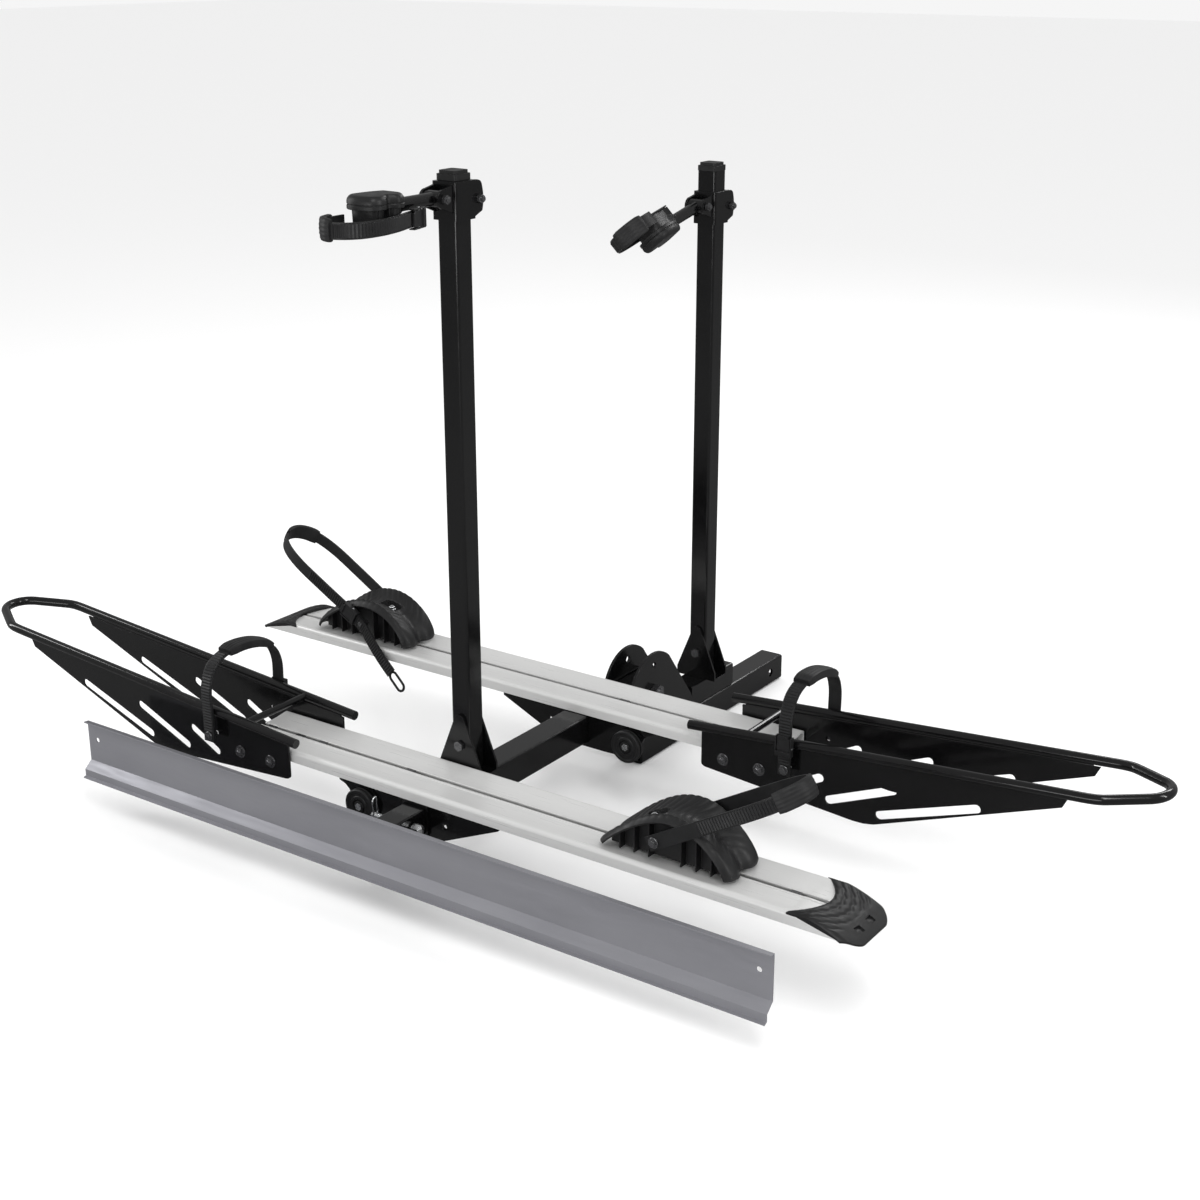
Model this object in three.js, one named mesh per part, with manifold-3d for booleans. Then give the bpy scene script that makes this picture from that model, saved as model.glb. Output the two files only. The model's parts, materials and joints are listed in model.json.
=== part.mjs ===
// Two-bike platform rack for a 2 inch hitch receiver, with wheel hoops, frame clamps and a loading ramp.
// Deck frame in millimetres: X runs along the trays, +Y towards the vehicle, Z = 0 on top of the main beam.
// The whole rack is then moved so that the origin is on top of the shank, above the receiver pin hole.
import * as THREE from 'three';
import { mergeVertices } from 'three/addons/utils/BufferGeometryUtils.js';
import Module from 'manifold-3d';

const wasm = await Module();
wasm.setup();

// ---- Driving dimensions ----
const GAP = 0.3;
const PIN_PLAY = 0.4;
const WELD = 0.5;
const PLATE = 5;
const BOLT_R = 4;

const BEAM = 50.8;
const BEAM_WALL = 4;
const BEAM_CORNER = 4;
const BEAM_FRONT = -62;
const BEAM_REAR = 618;

const TAIL = { size: BEAM - 2 * BEAM_WALL - 0.6, wall: 3.5, corner: 3, front: -134, rear: 60 };
const TAIL_PIN = { y: -92, r: 6, from: -60, to: 30, headFrom: 24, headTo: 36, headR: 9.5 };
const CLIP = { x: -50, r: 1.5, hole: 1.9, bendY: -6, bendZ: 30, bendR: 6 };

const SHANK_TOP = -107;
const SHANK_WALL = 5;
const SHANK_CORNER = 5;
const SHANK_FRONT = 545;
const SHANK_REAR = 1060;
const RECEIVER_PIN_Y = 1015;
const RECEIVER_PIN = 16.5;

const PIVOT = { y: 574, z: -20, r: 8 };
const PIVOT_PLATE = {
  x: BEAM / 2 + 0.6,
  r: 74,
  arcFrom: THREE.MathUtils.degToRad(205),
  arcTo: THREE.MathUtils.degToRad(48),
  front: 548,
  rear: 708,
  shoulderY: 694,
  shoulderZ: -58,
  cornerZ: -74,
  cornerEnd: -96,
};
const LOCK_ARM = 49;
const LOCK_PIN = { r: 6, tail: 16, reach: 10, flange: 5, flangeR: 10, gripFrom: 9, gripTo: 22, gripR: 12 };
const NOTCH = { play: 0.8, end: Math.PI * 1.36 };

const SADDLE = { y0: 716, y1: 866, height: 45, width: BEAM - 2, wall: 4 };

const TRAY_WIDTH = 122;
const TRAY_BOTTOM = 1;
const TRAY_TOP = 21;
const TRAY_INNER_END = -385;
const TRAY_MITRE_TOP = 660;
const TRAY_MITRE_LOW = 745;
const CAP_TIP = 770;
const TRAY_PITCH = 433;
const TRAY_SKIN = 2.5;
const TRAY_CORNER = 7;
const TRAY_DISH = { edge: 10, middle: 30, depth: 4 };
const TRAY_SLOT = { half: 6, lip: 8.5, lipDrop: 3, channel: 13, roof: 8, floor: 4 };
const CAP = { lap: 3, crest: 12, slopeU: 700, cornerU: 715, bendU: 745, tipHalf: 38, hollow: 52 };
const CAP_HOLE = { u: 744, v: 16, half: 5 };

const RAIL_R = 8;
const RAIL_Y = 71;
const RAIL_START = -240;
const RAIL_END = -938;
const RAIL_Z = 42;
const RAIL_SLOPE = 0.078;
const NOSE = { u: -981, r: 40, half: THREE.MathUtils.degToRad(60), steps: 8 };
const CROSS_BAR = { u: -352, r: 6, rise: 1 };
const HOOP_PLATE = { y: 66, thick: 3.5, inner: -262, outer: -893 };
const HOOP_WINDOW = 15;
const HOOP_BOLTS = [-373, -304];
const HOOP_BOLT_Z = -6.5;
const HOOP_STRAP = { u: -428, z: 14, near: 96, far: 82, crown: 62, steps: 12 };
const STRAP_WIDTH = 23;
const STRAP = 3.5;
const STRAP_PIN_R = 4;

const BRACKET_TOP = 0.8;
const BRACKET_LOW = -60;
const BRACKET_Y = 55;
const BRACKET_TIP = 161;
const BRACKET_FLANGE = { half: 150, width: 14, thick: 3 };
const BRACKET_EAR = { r: 27, from: 1.62, sweep: 0.72, steps: 8 };
const BRACKET_HOLE = { u: 56, z: -27, r: 5 };
const ROLLER = { u: -110, z: -34, r: 29, width: 13, recess: 6, recessR: 13, groove: 3, bolt: 5, nutR: 9 };

const MAST = 36;
const MAST_WALL = 3;
const MAST_CORNER = 4;
const MAST_PIVOT_RISE = 50;
const MAST_FOOT_RISE = 8;
const MAST_BOLT_R = 5;
const MAST_CAP = { height: 14, rim: 9, rimSize: MAST + 1.5, topSize: MAST - 4, plug: 16 };
const MAST_BASE = { half: 42, play: 0.5, plate: 3.5, shoulder: 16, neck: 100, neckHalf: 8, crown: 108 };
const FRONT_MAST = { x: -8, y: 84.8, base: 0, top: 957, collar: 914 };
const REAR_MAST = { x: 4, y: 783, base: SHANK_TOP + SADDLE.height, top: 903, collar: 826 };
const COLLAR = { outer: 46, height: 56, corner: 4, plate: 4, boltY: 6 };
const COLLAR_EYE = { r: 14, low: -18, high: 25, inner: 14, outer: 18 };
const COLLAR_EAR = { reach: 14, bulge: 20, low: 10, high: 8 };
const ARM = { r: 10, length: 116, knuckleR: 12, knuckleHalf: 13.5, ringFrom: 82, ringTo: 88, ring: 3 };
const ARM_PIVOT_Y = 22;
const ARM_PIVOT_RISE = 6;
const REAR_ARM_TILT = THREE.MathUtils.degToRad(12);
const REAR_HEAD_TURN = THREE.MathUtils.degToRad(140);
const HEAD = { near: -91, far: -168, low: 2, shoulder: 15, top: 22, depth: 26, socketR: 16, socket: 28 };
const HEAD_STRAP_Z = -18;
const HEAD_BUCKLE = { x0: 12.5, x1: 25, y0: -64, y1: -45, proud: 3 };

const CRADLE = { half: 45, wall: 9, foot: 22, rim: 96, bed: 74, left: -115, right: 115 };
const CRADLE_POCKET = { from: 24, to: 96, rise: 12 };
const CRADLE_BOLT = { u: -42, r: 4, hole: 5, headR: 8, head: 29, seat: 22, recessR: 11, nut: 10 };
const CRADLE_PIN = { u: -10, z: 56 };
const CRADLE_STRAP = { start: -14, straight: 210, bulge: 44, offset: 5, steps: 12 };
const CRADLE_STRAP_TILT = THREE.MathUtils.degToRad(30);
const FRONT_CRADLE_U = 450;
const REAR_CRADLE_U = 512;

const RAMP = { x0: -670, x1: 690, y: -138, sheet: 2, lip: 9, top: 1, fold: -72, foot: -97, hem: -99 };
const RAMP_HOLE = { inset: 22, z: -30, r: 4.5 };

// ---- Materials ----
function paint(color, roughness, metalness) {
  return new THREE.MeshStandardMaterial({ color, roughness, metalness });
}

const BLACK = paint(0x141415, 0.28, 0.3);
const ALUMINIUM = paint(0xc9cacb, 0.38, 0.9);
const RAMP_GREY = paint(0x9a9da3, 0.45, 0.7);
const PLASTIC = paint(0x1a1a1b, 0.7, 0.0);
const STRAP_PLASTIC = paint(0x1d1d1e, 0.6, 0.0);
const ZINC = paint(0xc4c6c8, 0.3, 0.95);
const DARK_ZINC = paint(0x2a2a2c, 0.35, 0.8);

// ---- Solids: joins, cuts and plain bodies ----
function solid(geometry) {
  const bare = geometry.clone();
  bare.deleteAttribute('normal');
  bare.deleteAttribute('uv');
  const welded = mergeVertices(bare, 1e-4);
  const mesh = new wasm.Mesh({
    numProp: 3,
    vertProperties: new Float32Array(welded.attributes.position.array),
    triVerts: new Uint32Array(welded.index.array),
  });
  return new wasm.Manifold(mesh);
}

function toGeometry(manifold) {
  const mesh = manifold.getMesh();
  const geometry = new THREE.BufferGeometry();
  geometry.setAttribute('position', new THREE.BufferAttribute(mesh.vertProperties, 3));
  geometry.setIndex(new THREE.BufferAttribute(mesh.triVerts, 1));
  geometry.computeVertexNormals();
  return geometry;
}

function join(first, ...rest) {
  return toGeometry(rest.reduce((sum, g) => sum.add(solid(g)), solid(first)));
}

function cut(body, ...tools) {
  return toGeometry(tools.reduce((left, g) => left.subtract(solid(g)), solid(body)));
}

function overlap(a, b) {
  return toGeometry(solid(a).intersect(solid(b)));
}

// A box between two corners.
function box(x0, y0, z0, x1, y1, z1) {
  const geometry = new THREE.BoxGeometry(x1 - x0, y1 - y0, z1 - z0);
  return geometry.translate((x0 + x1) / 2, (y0 + y1) / 2, (z0 + z1) / 2);
}

// Round bars along each axis, between two stations.
function barX(x0, x1, y, z, r, sides = 12) {
  const geometry = new THREE.CylinderGeometry(r, r, x1 - x0, sides).rotateZ(Math.PI / 2);
  return geometry.translate((x0 + x1) / 2, y, z);
}

function barY(y0, y1, x, z, r, sides = 12) {
  return new THREE.CylinderGeometry(r, r, y1 - y0, sides).translate(x, (y0 + y1) / 2, z);
}

function barZ(z0, z1, x, y, r, sides = 12) {
  const geometry = new THREE.CylinderGeometry(r, r, z1 - z0, sides).rotateX(Math.PI / 2);
  return geometry.translate(x, y, (z0 + z1) / 2);
}

// Drops repeated points and points in the middle of a straight edge.
function plainOutline(points) {
  const apart = points.filter((p, i) => p.distanceTo(points[(i + 1) % points.length]) > 1e-3);
  return apart.filter((p, i) => {
    const before = apart[(i + apart.length - 1) % apart.length];
    const after = apart[(i + 1) % apart.length];
    const turn = (p.x - before.x) * (after.y - p.y) - (p.y - before.y) * (after.x - p.x);
    return Math.abs(turn) > 1e-3;
  });
}

// A shape drawn out to a depth, with its holes cut right through; steps sets how fine its arcs are.
function extrude(shape, depth, steps = 3) {
  const { shape: outline, holes } = shape.extractPoints(steps);
  const prism = (points, length) => new THREE.ExtrudeGeometry(
    new THREE.Shape(plainOutline(points)),
    { depth: length, bevelEnabled: false },
  );
  const body = prism(outline, depth);
  const cores = holes.map((hole) => prism(hole, depth + 2).translate(0, 0, -1));
  return cores.length > 0 ? cut(body, ...cores) : body;
}

// A plate drawn in X and Z, filling y0 to y1.
function plateXZ(shape, y0, y1, steps) {
  const turn = new THREE.Matrix4().makeBasis(
    new THREE.Vector3(1, 0, 0),
    new THREE.Vector3(0, 0, 1),
    new THREE.Vector3(0, -1, 0),
  );
  return extrude(shape, y1 - y0, steps).applyMatrix4(turn).translate(0, y1, 0);
}

// A plate drawn in Y and Z, filling x0 to x1.
function plateYZ(shape, x0, x1, steps) {
  const turn = new THREE.Matrix4().makeBasis(
    new THREE.Vector3(0, 1, 0),
    new THREE.Vector3(0, 0, 1),
    new THREE.Vector3(1, 0, 0),
  );
  return extrude(shape, x1 - x0, steps).applyMatrix4(turn).translate(x0, 0, 0);
}

// A plate drawn in X and Y, filling z0 to z1.
function plateXY(shape, z0, z1, steps) {
  return extrude(shape, z1 - z0, steps).translate(0, 0, z0);
}

function polygon(points) {
  return new THREE.Shape(points.map(([x, y]) => new THREE.Vector2(x, y)));
}

function roundedRect(cx, cy, width, height, r) {
  const [x0, x1, y0, y1] = [cx - width / 2, cx + width / 2, cy - height / 2, cy + height / 2];
  const shape = new THREE.Shape();
  shape.absarc(x1 - r, y1 - r, r, 0, Math.PI / 2);
  shape.absarc(x0 + r, y1 - r, r, Math.PI / 2, Math.PI);
  shape.absarc(x0 + r, y0 + r, r, Math.PI, Math.PI * 1.5);
  shape.absarc(x1 - r, y0 + r, r, Math.PI * 1.5, Math.PI * 2);
  return shape;
}

function squareTubeShape(cx, cy, size, wall, r) {
  const shape = roundedRect(cx, cy, size, size, r);
  shape.holes.push(roundedRect(cx, cy, size - 2 * wall, size - 2 * wall, r * 0.5));
  return shape;
}

// A slanted slot with round ends, drawn between two points.
function slotShape(x0, z0, x1, z1, width) {
  const angle = Math.atan2(z1 - z0, x1 - x0);
  const shape = new THREE.Shape();
  shape.absarc(x1, z1, width / 2, angle - Math.PI / 2, angle + Math.PI / 2);
  shape.absarc(x0, z0, width / 2, angle + Math.PI / 2, angle + Math.PI * 1.5);
  return shape;
}

// A path through set points, with each bend's section on the bisector.
class BentPath extends THREE.Curve {
  constructor(points) {
    super();
    this.points = points;
  }

  getPointAt(t) {
    const last = this.points.length - 1;
    const place = Math.min(t * last, last);
    const index = Math.min(Math.floor(place + 1e-9), last - 1);
    return this.points[index].clone().lerp(this.points[index + 1], place - index);
  }

  getTangentAt(t) {
    const last = this.points.length - 1;
    const index = Math.round(t * last);
    const before = this.points[Math.max(index - 1, 0)];
    const after = this.points[Math.min(index + 1, last)];
    return after.clone().sub(before).normalize();
  }
}

function bentBar(points, r, sides) {
  const section = new THREE.Shape().absarc(0, 0, r, 0, Math.PI * 2);
  const path = new BentPath(points);
  const ring = new THREE.Shape(section.getSpacedPoints(sides).slice(0, sides));
  return new THREE.ExtrudeGeometry(ring, { extrudePath: path, steps: points.length - 1 });
}

// A band of constant thickness along a bent centre line in a plane.
function bandShape(points, thickness) {
  const side = (sign) => points.map(([x, y], i) => {
    const [ax, ay] = points[Math.max(i - 1, 0)];
    const [bx, by] = points[Math.min(i + 1, points.length - 1)];
    const length = Math.hypot(bx - ax, by - ay);
    const reach = (sign * thickness) / 2 / length;
    return [x - (by - ay) * reach, y + (bx - ax) * reach];
  });
  return polygon([...side(1), ...side(-1).reverse()]);
}

// Hex-headed bolts with their nuts, as one body along X or Y. Head and nut are set by the bolt's radius.
const HEX = 6;
const HEAD_SHARE = 1.75;
const NUT_SHARE = 1.6;
const BOLT_TIP = 3;

function throughBoltX(x0, x1, y, z, r) {
  const head = r * HEAD_SHARE;
  const nut = r * NUT_SHARE;
  return join(
    barX(x0, x1, y, z, r),
    barX(x0 - r, x0, y, z, head, HEX),
    barX(x1 + GAP, x1 + GAP + nut, y, z, head, HEX),
    barX(x1 - GAP, x1 + GAP + nut + BOLT_TIP, y, z, r),
  );
}

function throughBoltY(y0, y1, x, z, r) {
  const head = r * HEAD_SHARE;
  const nut = r * NUT_SHARE;
  return join(
    barY(y0, y1, x, z, r),
    barY(y0 - r, y0, x, z, head, HEX),
    barY(y1, y1 + nut, x, z, head, HEX),
    barY(y1 - GAP, y1 + nut + BOLT_TIP, x, z, r),
  );
}

const rack = new THREE.Group();
rack.position.set(0, -RECEIVER_PIN_Y, -SHANK_TOP);

function add(parent, name, geometry, material) {
  const mesh = new THREE.Mesh(geometry, material);
  mesh.name = name;
  parent.add(mesh);
}

// ---- Hitch: shank, pivot plates and the rear mast's saddle ----
function hitchShank() {
  const middle = SHANK_TOP - BEAM / 2;
  const section = squareTubeShape(0, middle, BEAM, SHANK_WALL, SHANK_CORNER);
  const tube = plateXZ(section, SHANK_FRONT, SHANK_REAR);
  const bored = cut(tube, barX(-BEAM, BEAM, RECEIVER_PIN_Y, middle, RECEIVER_PIN / 2, 20));
  return join(bored, saddle());
}

// A short welded box that lifts the rear mast off the shank.
function saddle() {
  const { y0, y1, height, width, wall } = SADDLE;
  const middle = SHANK_TOP + (height - WELD) / 2;
  const shape = roundedRect(0, middle, width, height + WELD, wall);
  shape.holes.push(roundedRect(0, middle + WELD, width - 2 * wall, height - 2 * wall, wall / 2));
  return plateXZ(shape, y0, y1);
}

// Each plate has holes for the pivot, and for the lock pin with the rack down and folded up.
function pivotPlate(side) {
  const { x, r, arcFrom, arcTo, front, rear, shoulderY, shoulderZ, cornerZ, cornerEnd } = PIVOT_PLATE;
  const bottom = SHANK_TOP - BEAM;
  const shape = new THREE.Shape();
  shape.moveTo(front, bottom);
  shape.absarc(PIVOT.y, PIVOT.z, r, arcFrom, arcTo, true);
  shape.lineTo(shoulderY, shoulderZ);
  shape.quadraticCurveTo(rear, cornerZ, rear, cornerEnd);
  shape.lineTo(rear, bottom);
  const x0 = side > 0 ? x : -x - PLATE;
  const x1 = x0 + PLATE;
  return cut(
    plateYZ(shape, x0, x1, 9),
    barX(x0 - 1, x1 + 1, PIVOT.y, PIVOT.z, PIVOT.r + GAP, 16),
    barX(x0 - 1, x1 + 1, PIVOT.y - LOCK_ARM, PIVOT.z, LOCK_PIN.r + PIN_PLAY, 16),
    barX(x0 - 1, x1 + 1, PIVOT.y, PIVOT.z + LOCK_ARM, LOCK_PIN.r + PIN_PLAY, 16),
  );
}

function lockPin() {
  const { r, tail, reach, flange, flangeR, gripFrom, gripTo, gripR } = LOCK_PIN;
  const y = PIVOT.y - LOCK_ARM;
  const inner = PIVOT_PLATE.x + PLATE;
  return join(
    barX(-inner - tail, inner + reach, y, PIVOT.z, r),
    barX(inner + GAP, inner + flange, y, PIVOT.z, flangeR),
    barX(inner + gripFrom, inner + gripTo, y, PIVOT.z, gripR, 20),
  );
}

const REACH = PIVOT_PLATE.x + PLATE + GAP;
add(rack, 'hitch_shank', hitchShank(), BLACK);
add(rack, 'pivot_plate_left', pivotPlate(-1), BLACK);
add(rack, 'pivot_plate_right', pivotPlate(1), BLACK);
add(rack, 'pivot_bolt', throughBoltX(-REACH, REACH, PIVOT.y, PIVOT.z, PIVOT.r), DARK_ZINC);
add(rack, 'lock_pin', lockPin(), ZINC);

// ---- Beam and tail ----
// The arc notch lets the beam swing up past the lock pin.
function mainBeam() {
  const section = squareTubeShape(0, -BEAM / 2, BEAM, BEAM_WALL, BEAM_CORNER);
  const tube = plateXZ(section, BEAM_FRONT, BEAM_REAR);
  const clearance = LOCK_PIN.r + NOTCH.play;
  const notch = new THREE.Shape();
  notch.absarc(PIVOT.y, PIVOT.z, LOCK_ARM + clearance, Math.PI, NOTCH.end);
  notch.absarc(PIVOT.y, PIVOT.z, LOCK_ARM - clearance, NOTCH.end, Math.PI, true);
  return cut(
    tube,
    barX(-BEAM, BEAM, PIVOT.y, PIVOT.z, PIVOT.r + GAP, 16),
    barX(-BEAM, BEAM, PIVOT.y - LOCK_ARM, PIVOT.z, clearance, 24),
    plateYZ(notch, -BEAM, BEAM),
  );
}

function tailTube() {
  const section = squareTubeShape(0, -BEAM / 2, TAIL.size, TAIL.wall, TAIL.corner);
  const tube = plateXZ(section, TAIL.front, TAIL.rear);
  return cut(tube, barX(-BEAM, BEAM, TAIL_PIN.y, -BEAM / 2, TAIL_PIN.r + PIN_PLAY, 20));
}

function tailPin() {
  const { y, r, from, to, headFrom, headTo, headR } = TAIL_PIN;
  const z = -BEAM / 2;
  const pin = join(
    barX(from, to, y, z, r),
    barX(headFrom, headTo, y, z, headR, 12),
    new THREE.SphereGeometry(headR, 12, 6).scale(0.5, 1, 1).translate(headTo, y, z),
  );
  return cut(pin, barZ(z - 10, z + 10, CLIP.x, y, CLIP.hole, 12));
}

// The straight leg passes through the pin, and the bowed leg grips its outside.
function springClip() {
  const { x, r, bendY, bendZ, bendR } = CLIP;
  const z = -BEAM / 2;
  const at = (dy, dz) => new THREE.Vector3(x, TAIL_PIN.y + dy, z + dz);
  const bend = [0, 0.25, 0.5, 0.75, 1].map((t) => {
    const angle = Math.PI * t;
    return at(bendY + bendR * Math.cos(angle), bendZ + bendR * Math.sin(angle));
  });
  const straight = [at(0, -17), at(0, 6)];
  const bowed = [at(-9, 16), at(-10.5, 0), at(-8, -12), at(-11, -18)];
  return bentBar([...straight, ...bend, ...bowed], r, 8);
}

add(rack, 'main_beam', mainBeam(), BLACK);
add(rack, 'tail_tube', tailTube(), BLACK);
add(rack, 'tail_pin', tailPin(), ZINC);
add(rack, 'tail_pin_clip', springClip(), ZINC);

// ---- One tray with its hoop, brackets and cradle ----
// u runs from the beam towards the tray's end cap, and x = side * u.
// One half of the section's top, from the side face in to the slot; the other half mirrors it.
function trayHalf() {
  const half = TRAY_WIDTH / 2;
  const { edge, middle, depth } = TRAY_DISH;
  const { half: slot, lip, lipDrop, channel, roof, floor } = TRAY_SLOT;
  const shape = new THREE.Shape();
  shape.moveTo(half, TRAY_BOTTOM);
  shape.lineTo(half, TRAY_TOP - TRAY_CORNER - 1);
  shape.absarc(half - TRAY_CORNER, TRAY_TOP - TRAY_CORNER, TRAY_CORNER, 0, Math.PI / 2);
  shape.quadraticCurveTo(middle, TRAY_TOP - depth, edge, TRAY_TOP - depth);
  shape.lineTo(lip, TRAY_TOP - lipDrop);
  shape.lineTo(slot, TRAY_TOP - lipDrop);
  shape.lineTo(slot, TRAY_TOP - roof);
  shape.lineTo(channel, TRAY_TOP - roof);
  shape.lineTo(channel, TRAY_BOTTOM + floor);
  return shape.getPoints(4);
}

function trayShape() {
  const right = trayHalf();
  const left = right.map(({ x, y }) => new THREE.Vector2(-x, y)).reverse();
  const shape = new THREE.Shape([...right, ...left]);
  const half = TRAY_WIDTH / 2;
  const inner = TRAY_SLOT.channel + 3;
  const low = TRAY_BOTTOM + TRAY_SKIN;
  for (const sign of [-1, 1]) {
    const chamber = [[inner, low], [half - TRAY_SKIN, low], [half - TRAY_SKIN, TRAY_TOP - 9],
      [half - 9, TRAY_TOP - 3.2], [34, TRAY_TOP - 6.2], [inner, TRAY_TOP - 6.6]];
    shape.holes.push(polygon(chamber.map(([y, z]) => [sign * y, z])));
  }
  return shape;
}

function tray(side, y) {
  const [near, far] = [side * TRAY_INNER_END, side * (TRAY_MITRE_LOW + 1)];
  const bar = plateYZ(trayShape(), Math.min(near, far), Math.max(near, far), 4).translate(0, y, 0);
  const wedge = polygon([[TRAY_MITRE_TOP, TRAY_TOP], [TRAY_MITRE_LOW, TRAY_BOTTOM], [TRAY_MITRE_LOW, -10],
    [CAP_TIP, -10], [CAP_TIP, 40], [TRAY_MITRE_TOP, 40]].map(([u, z]) => [side * u, z]));
  return cut(bar, plateXZ(wedge, y - TRAY_WIDTH, y + TRAY_WIDTH));
}

// A sloping wedge: its side profile met by its plan, with two square holes near the tip.
function endCap(side, y) {
  const half = TRAY_WIDTH / 2;
  const { lap, crest, slopeU, cornerU, bendU, tipHalf, hollow } = CAP;
  const profile = [[TRAY_MITRE_TOP + lap, TRAY_TOP], [TRAY_MITRE_TOP + crest, TRAY_TOP + 2],
    [slopeU, TRAY_TOP - 1], [CAP_TIP - 4, -5], [CAP_TIP, -9], [CAP_TIP, -17],
    [TRAY_MITRE_LOW + 2 * lap, -13], [TRAY_MITRE_LOW + lap, TRAY_BOTTOM]];
  const plan = new THREE.Shape();
  plan.moveTo(side * TRAY_MITRE_TOP, half);
  plan.lineTo(side * cornerU, half);
  plan.quadraticCurveTo(side * bendU, half, side * CAP_TIP, tipHalf);
  plan.lineTo(side * CAP_TIP, -tipHalf);
  plan.quadraticCurveTo(side * bendU, -half, side * cornerU, -half);
  plan.lineTo(side * TRAY_MITRE_TOP, -half);
  plan.quadraticCurveTo(side * (TRAY_MITRE_TOP + hollow), 0, side * TRAY_MITRE_TOP, half);
  const wedge = plateXZ(polygon(profile.map(([u, z]) => [side * u, z])), -half, half);
  const shaped = overlap(wedge, plateXY(plan, -30, 40));
  const hole = (v) => {
    const [u, reach] = [side * CAP_HOLE.u, CAP_HOLE.half];
    return box(u - reach, v - reach, -40, u + reach, v + reach, 40);
  };
  return cut(shaped, hole(-CAP_HOLE.v), hole(CAP_HOLE.v)).translate(0, y, 0);
}

function railZ(u) {
  return RAIL_Z + RAIL_SLOPE * (RAIL_START - u);
}

function hoop(side, y) {
  const at = (u, v) => new THREE.Vector3(side * u, y + v, railZ(u));
  const nose = [];
  for (let i = 0; i <= NOSE.steps; i += 1) {
    const angle = NOSE.half * ((2 * i) / NOSE.steps - 1);
    nose.push(at(NOSE.u - NOSE.r * Math.cos(angle), NOSE.r * Math.sin(angle)));
  }
  const bend = (sign) => [at(RAIL_END + 12, sign * RAIL_Y), at(RAIL_END - 10, sign * (RAIL_Y - 6))];
  const path = [at(RAIL_START, -RAIL_Y), ...bend(-1), ...nose, ...bend(1).reverse(), at(RAIL_START, RAIL_Y)];
  const loop = bentBar(path, RAIL_R, 10);
  const barZ0 = railZ(CROSS_BAR.u) + CROSS_BAR.rise;
  const bar = barY(y - RAIL_Y, y + RAIL_Y, side * CROSS_BAR.u, barZ0, CROSS_BAR.r, 12);
  return join(loop, bar);
}

// A long side plate under the rail, lightened by three slanted windows.
function hoopPlate(side, y, face) {
  const { inner, outer, thick } = HOOP_PLATE;
  const top = (u) => railZ(u) - RAIL_R - GAP;
  const shape = new THREE.Shape();
  shape.moveTo(side * inner, top(inner));
  shape.lineTo(side * inner, -22);
  shape.quadraticCurveTo(side * inner, -28, side * (inner - 10), -29);
  shape.lineTo(side * -545, -50);
  shape.quadraticCurveTo(side * -575, -52, side * -600, -40);
  shape.lineTo(side * (outer + 8), top(outer + 8) - 16);
  shape.lineTo(side * outer, top(outer));
  const v = y + face * HOOP_PLATE.y;
  const [v0, v1] = [v - thick / 2, v + thick / 2];
  const slots = [[-752, 28, -592, -28], [-612, 20, -502, -26], [-484, 8, -430, -20]];
  const windows = slots.map(([u0, z0, u1, z1]) => (
    plateXZ(slotShape(side * u0, z0, side * u1, z1, HOOP_WINDOW), v0 - 1, v1 + 1)
  ));
  const hole = (u, z) => barY(v0 - 1, v1 + 1, side * u, z, BOLT_R + GAP);
  const holes = HOOP_BOLTS.map((u) => hole(u, HOOP_BOLT_Z));
  return cut(plateXZ(shape, v0, v1), ...windows, ...holes, hole(HOOP_STRAP.u, HOOP_STRAP.z));
}

// An arch over the wheel, with a stub pin through each hoop plate.
function hoopStrap(side, y) {
  const { u, z, near, far, crown, steps } = HOOP_STRAP;
  const leg = RAIL_Y + RAIL_R + 4.2;
  const line = [[-leg, 0], [-leg, near]];
  for (let i = 1; i < steps; i += 1) {
    const t = i / steps;
    line.push([-leg * Math.cos(Math.PI * t), near + crown * Math.sin(Math.PI * t) - (near - far) * t]);
  }
  line.push([leg, far], [leg, 0]);
  const x = side * u;
  const arch = plateYZ(bandShape(line, STRAP), x - STRAP_WIDTH / 2, x + STRAP_WIDTH / 2);
  const stub = HOOP_PLATE.y - HOOP_PLATE.thick;
  return join(
    arch.translate(0, y, 0),
    barY(y - leg - 5, y - stub, x, z, STRAP_PIN_R),
    barY(y + stub, y + leg + 5, x, z, STRAP_PIN_R),
  );
}

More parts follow.
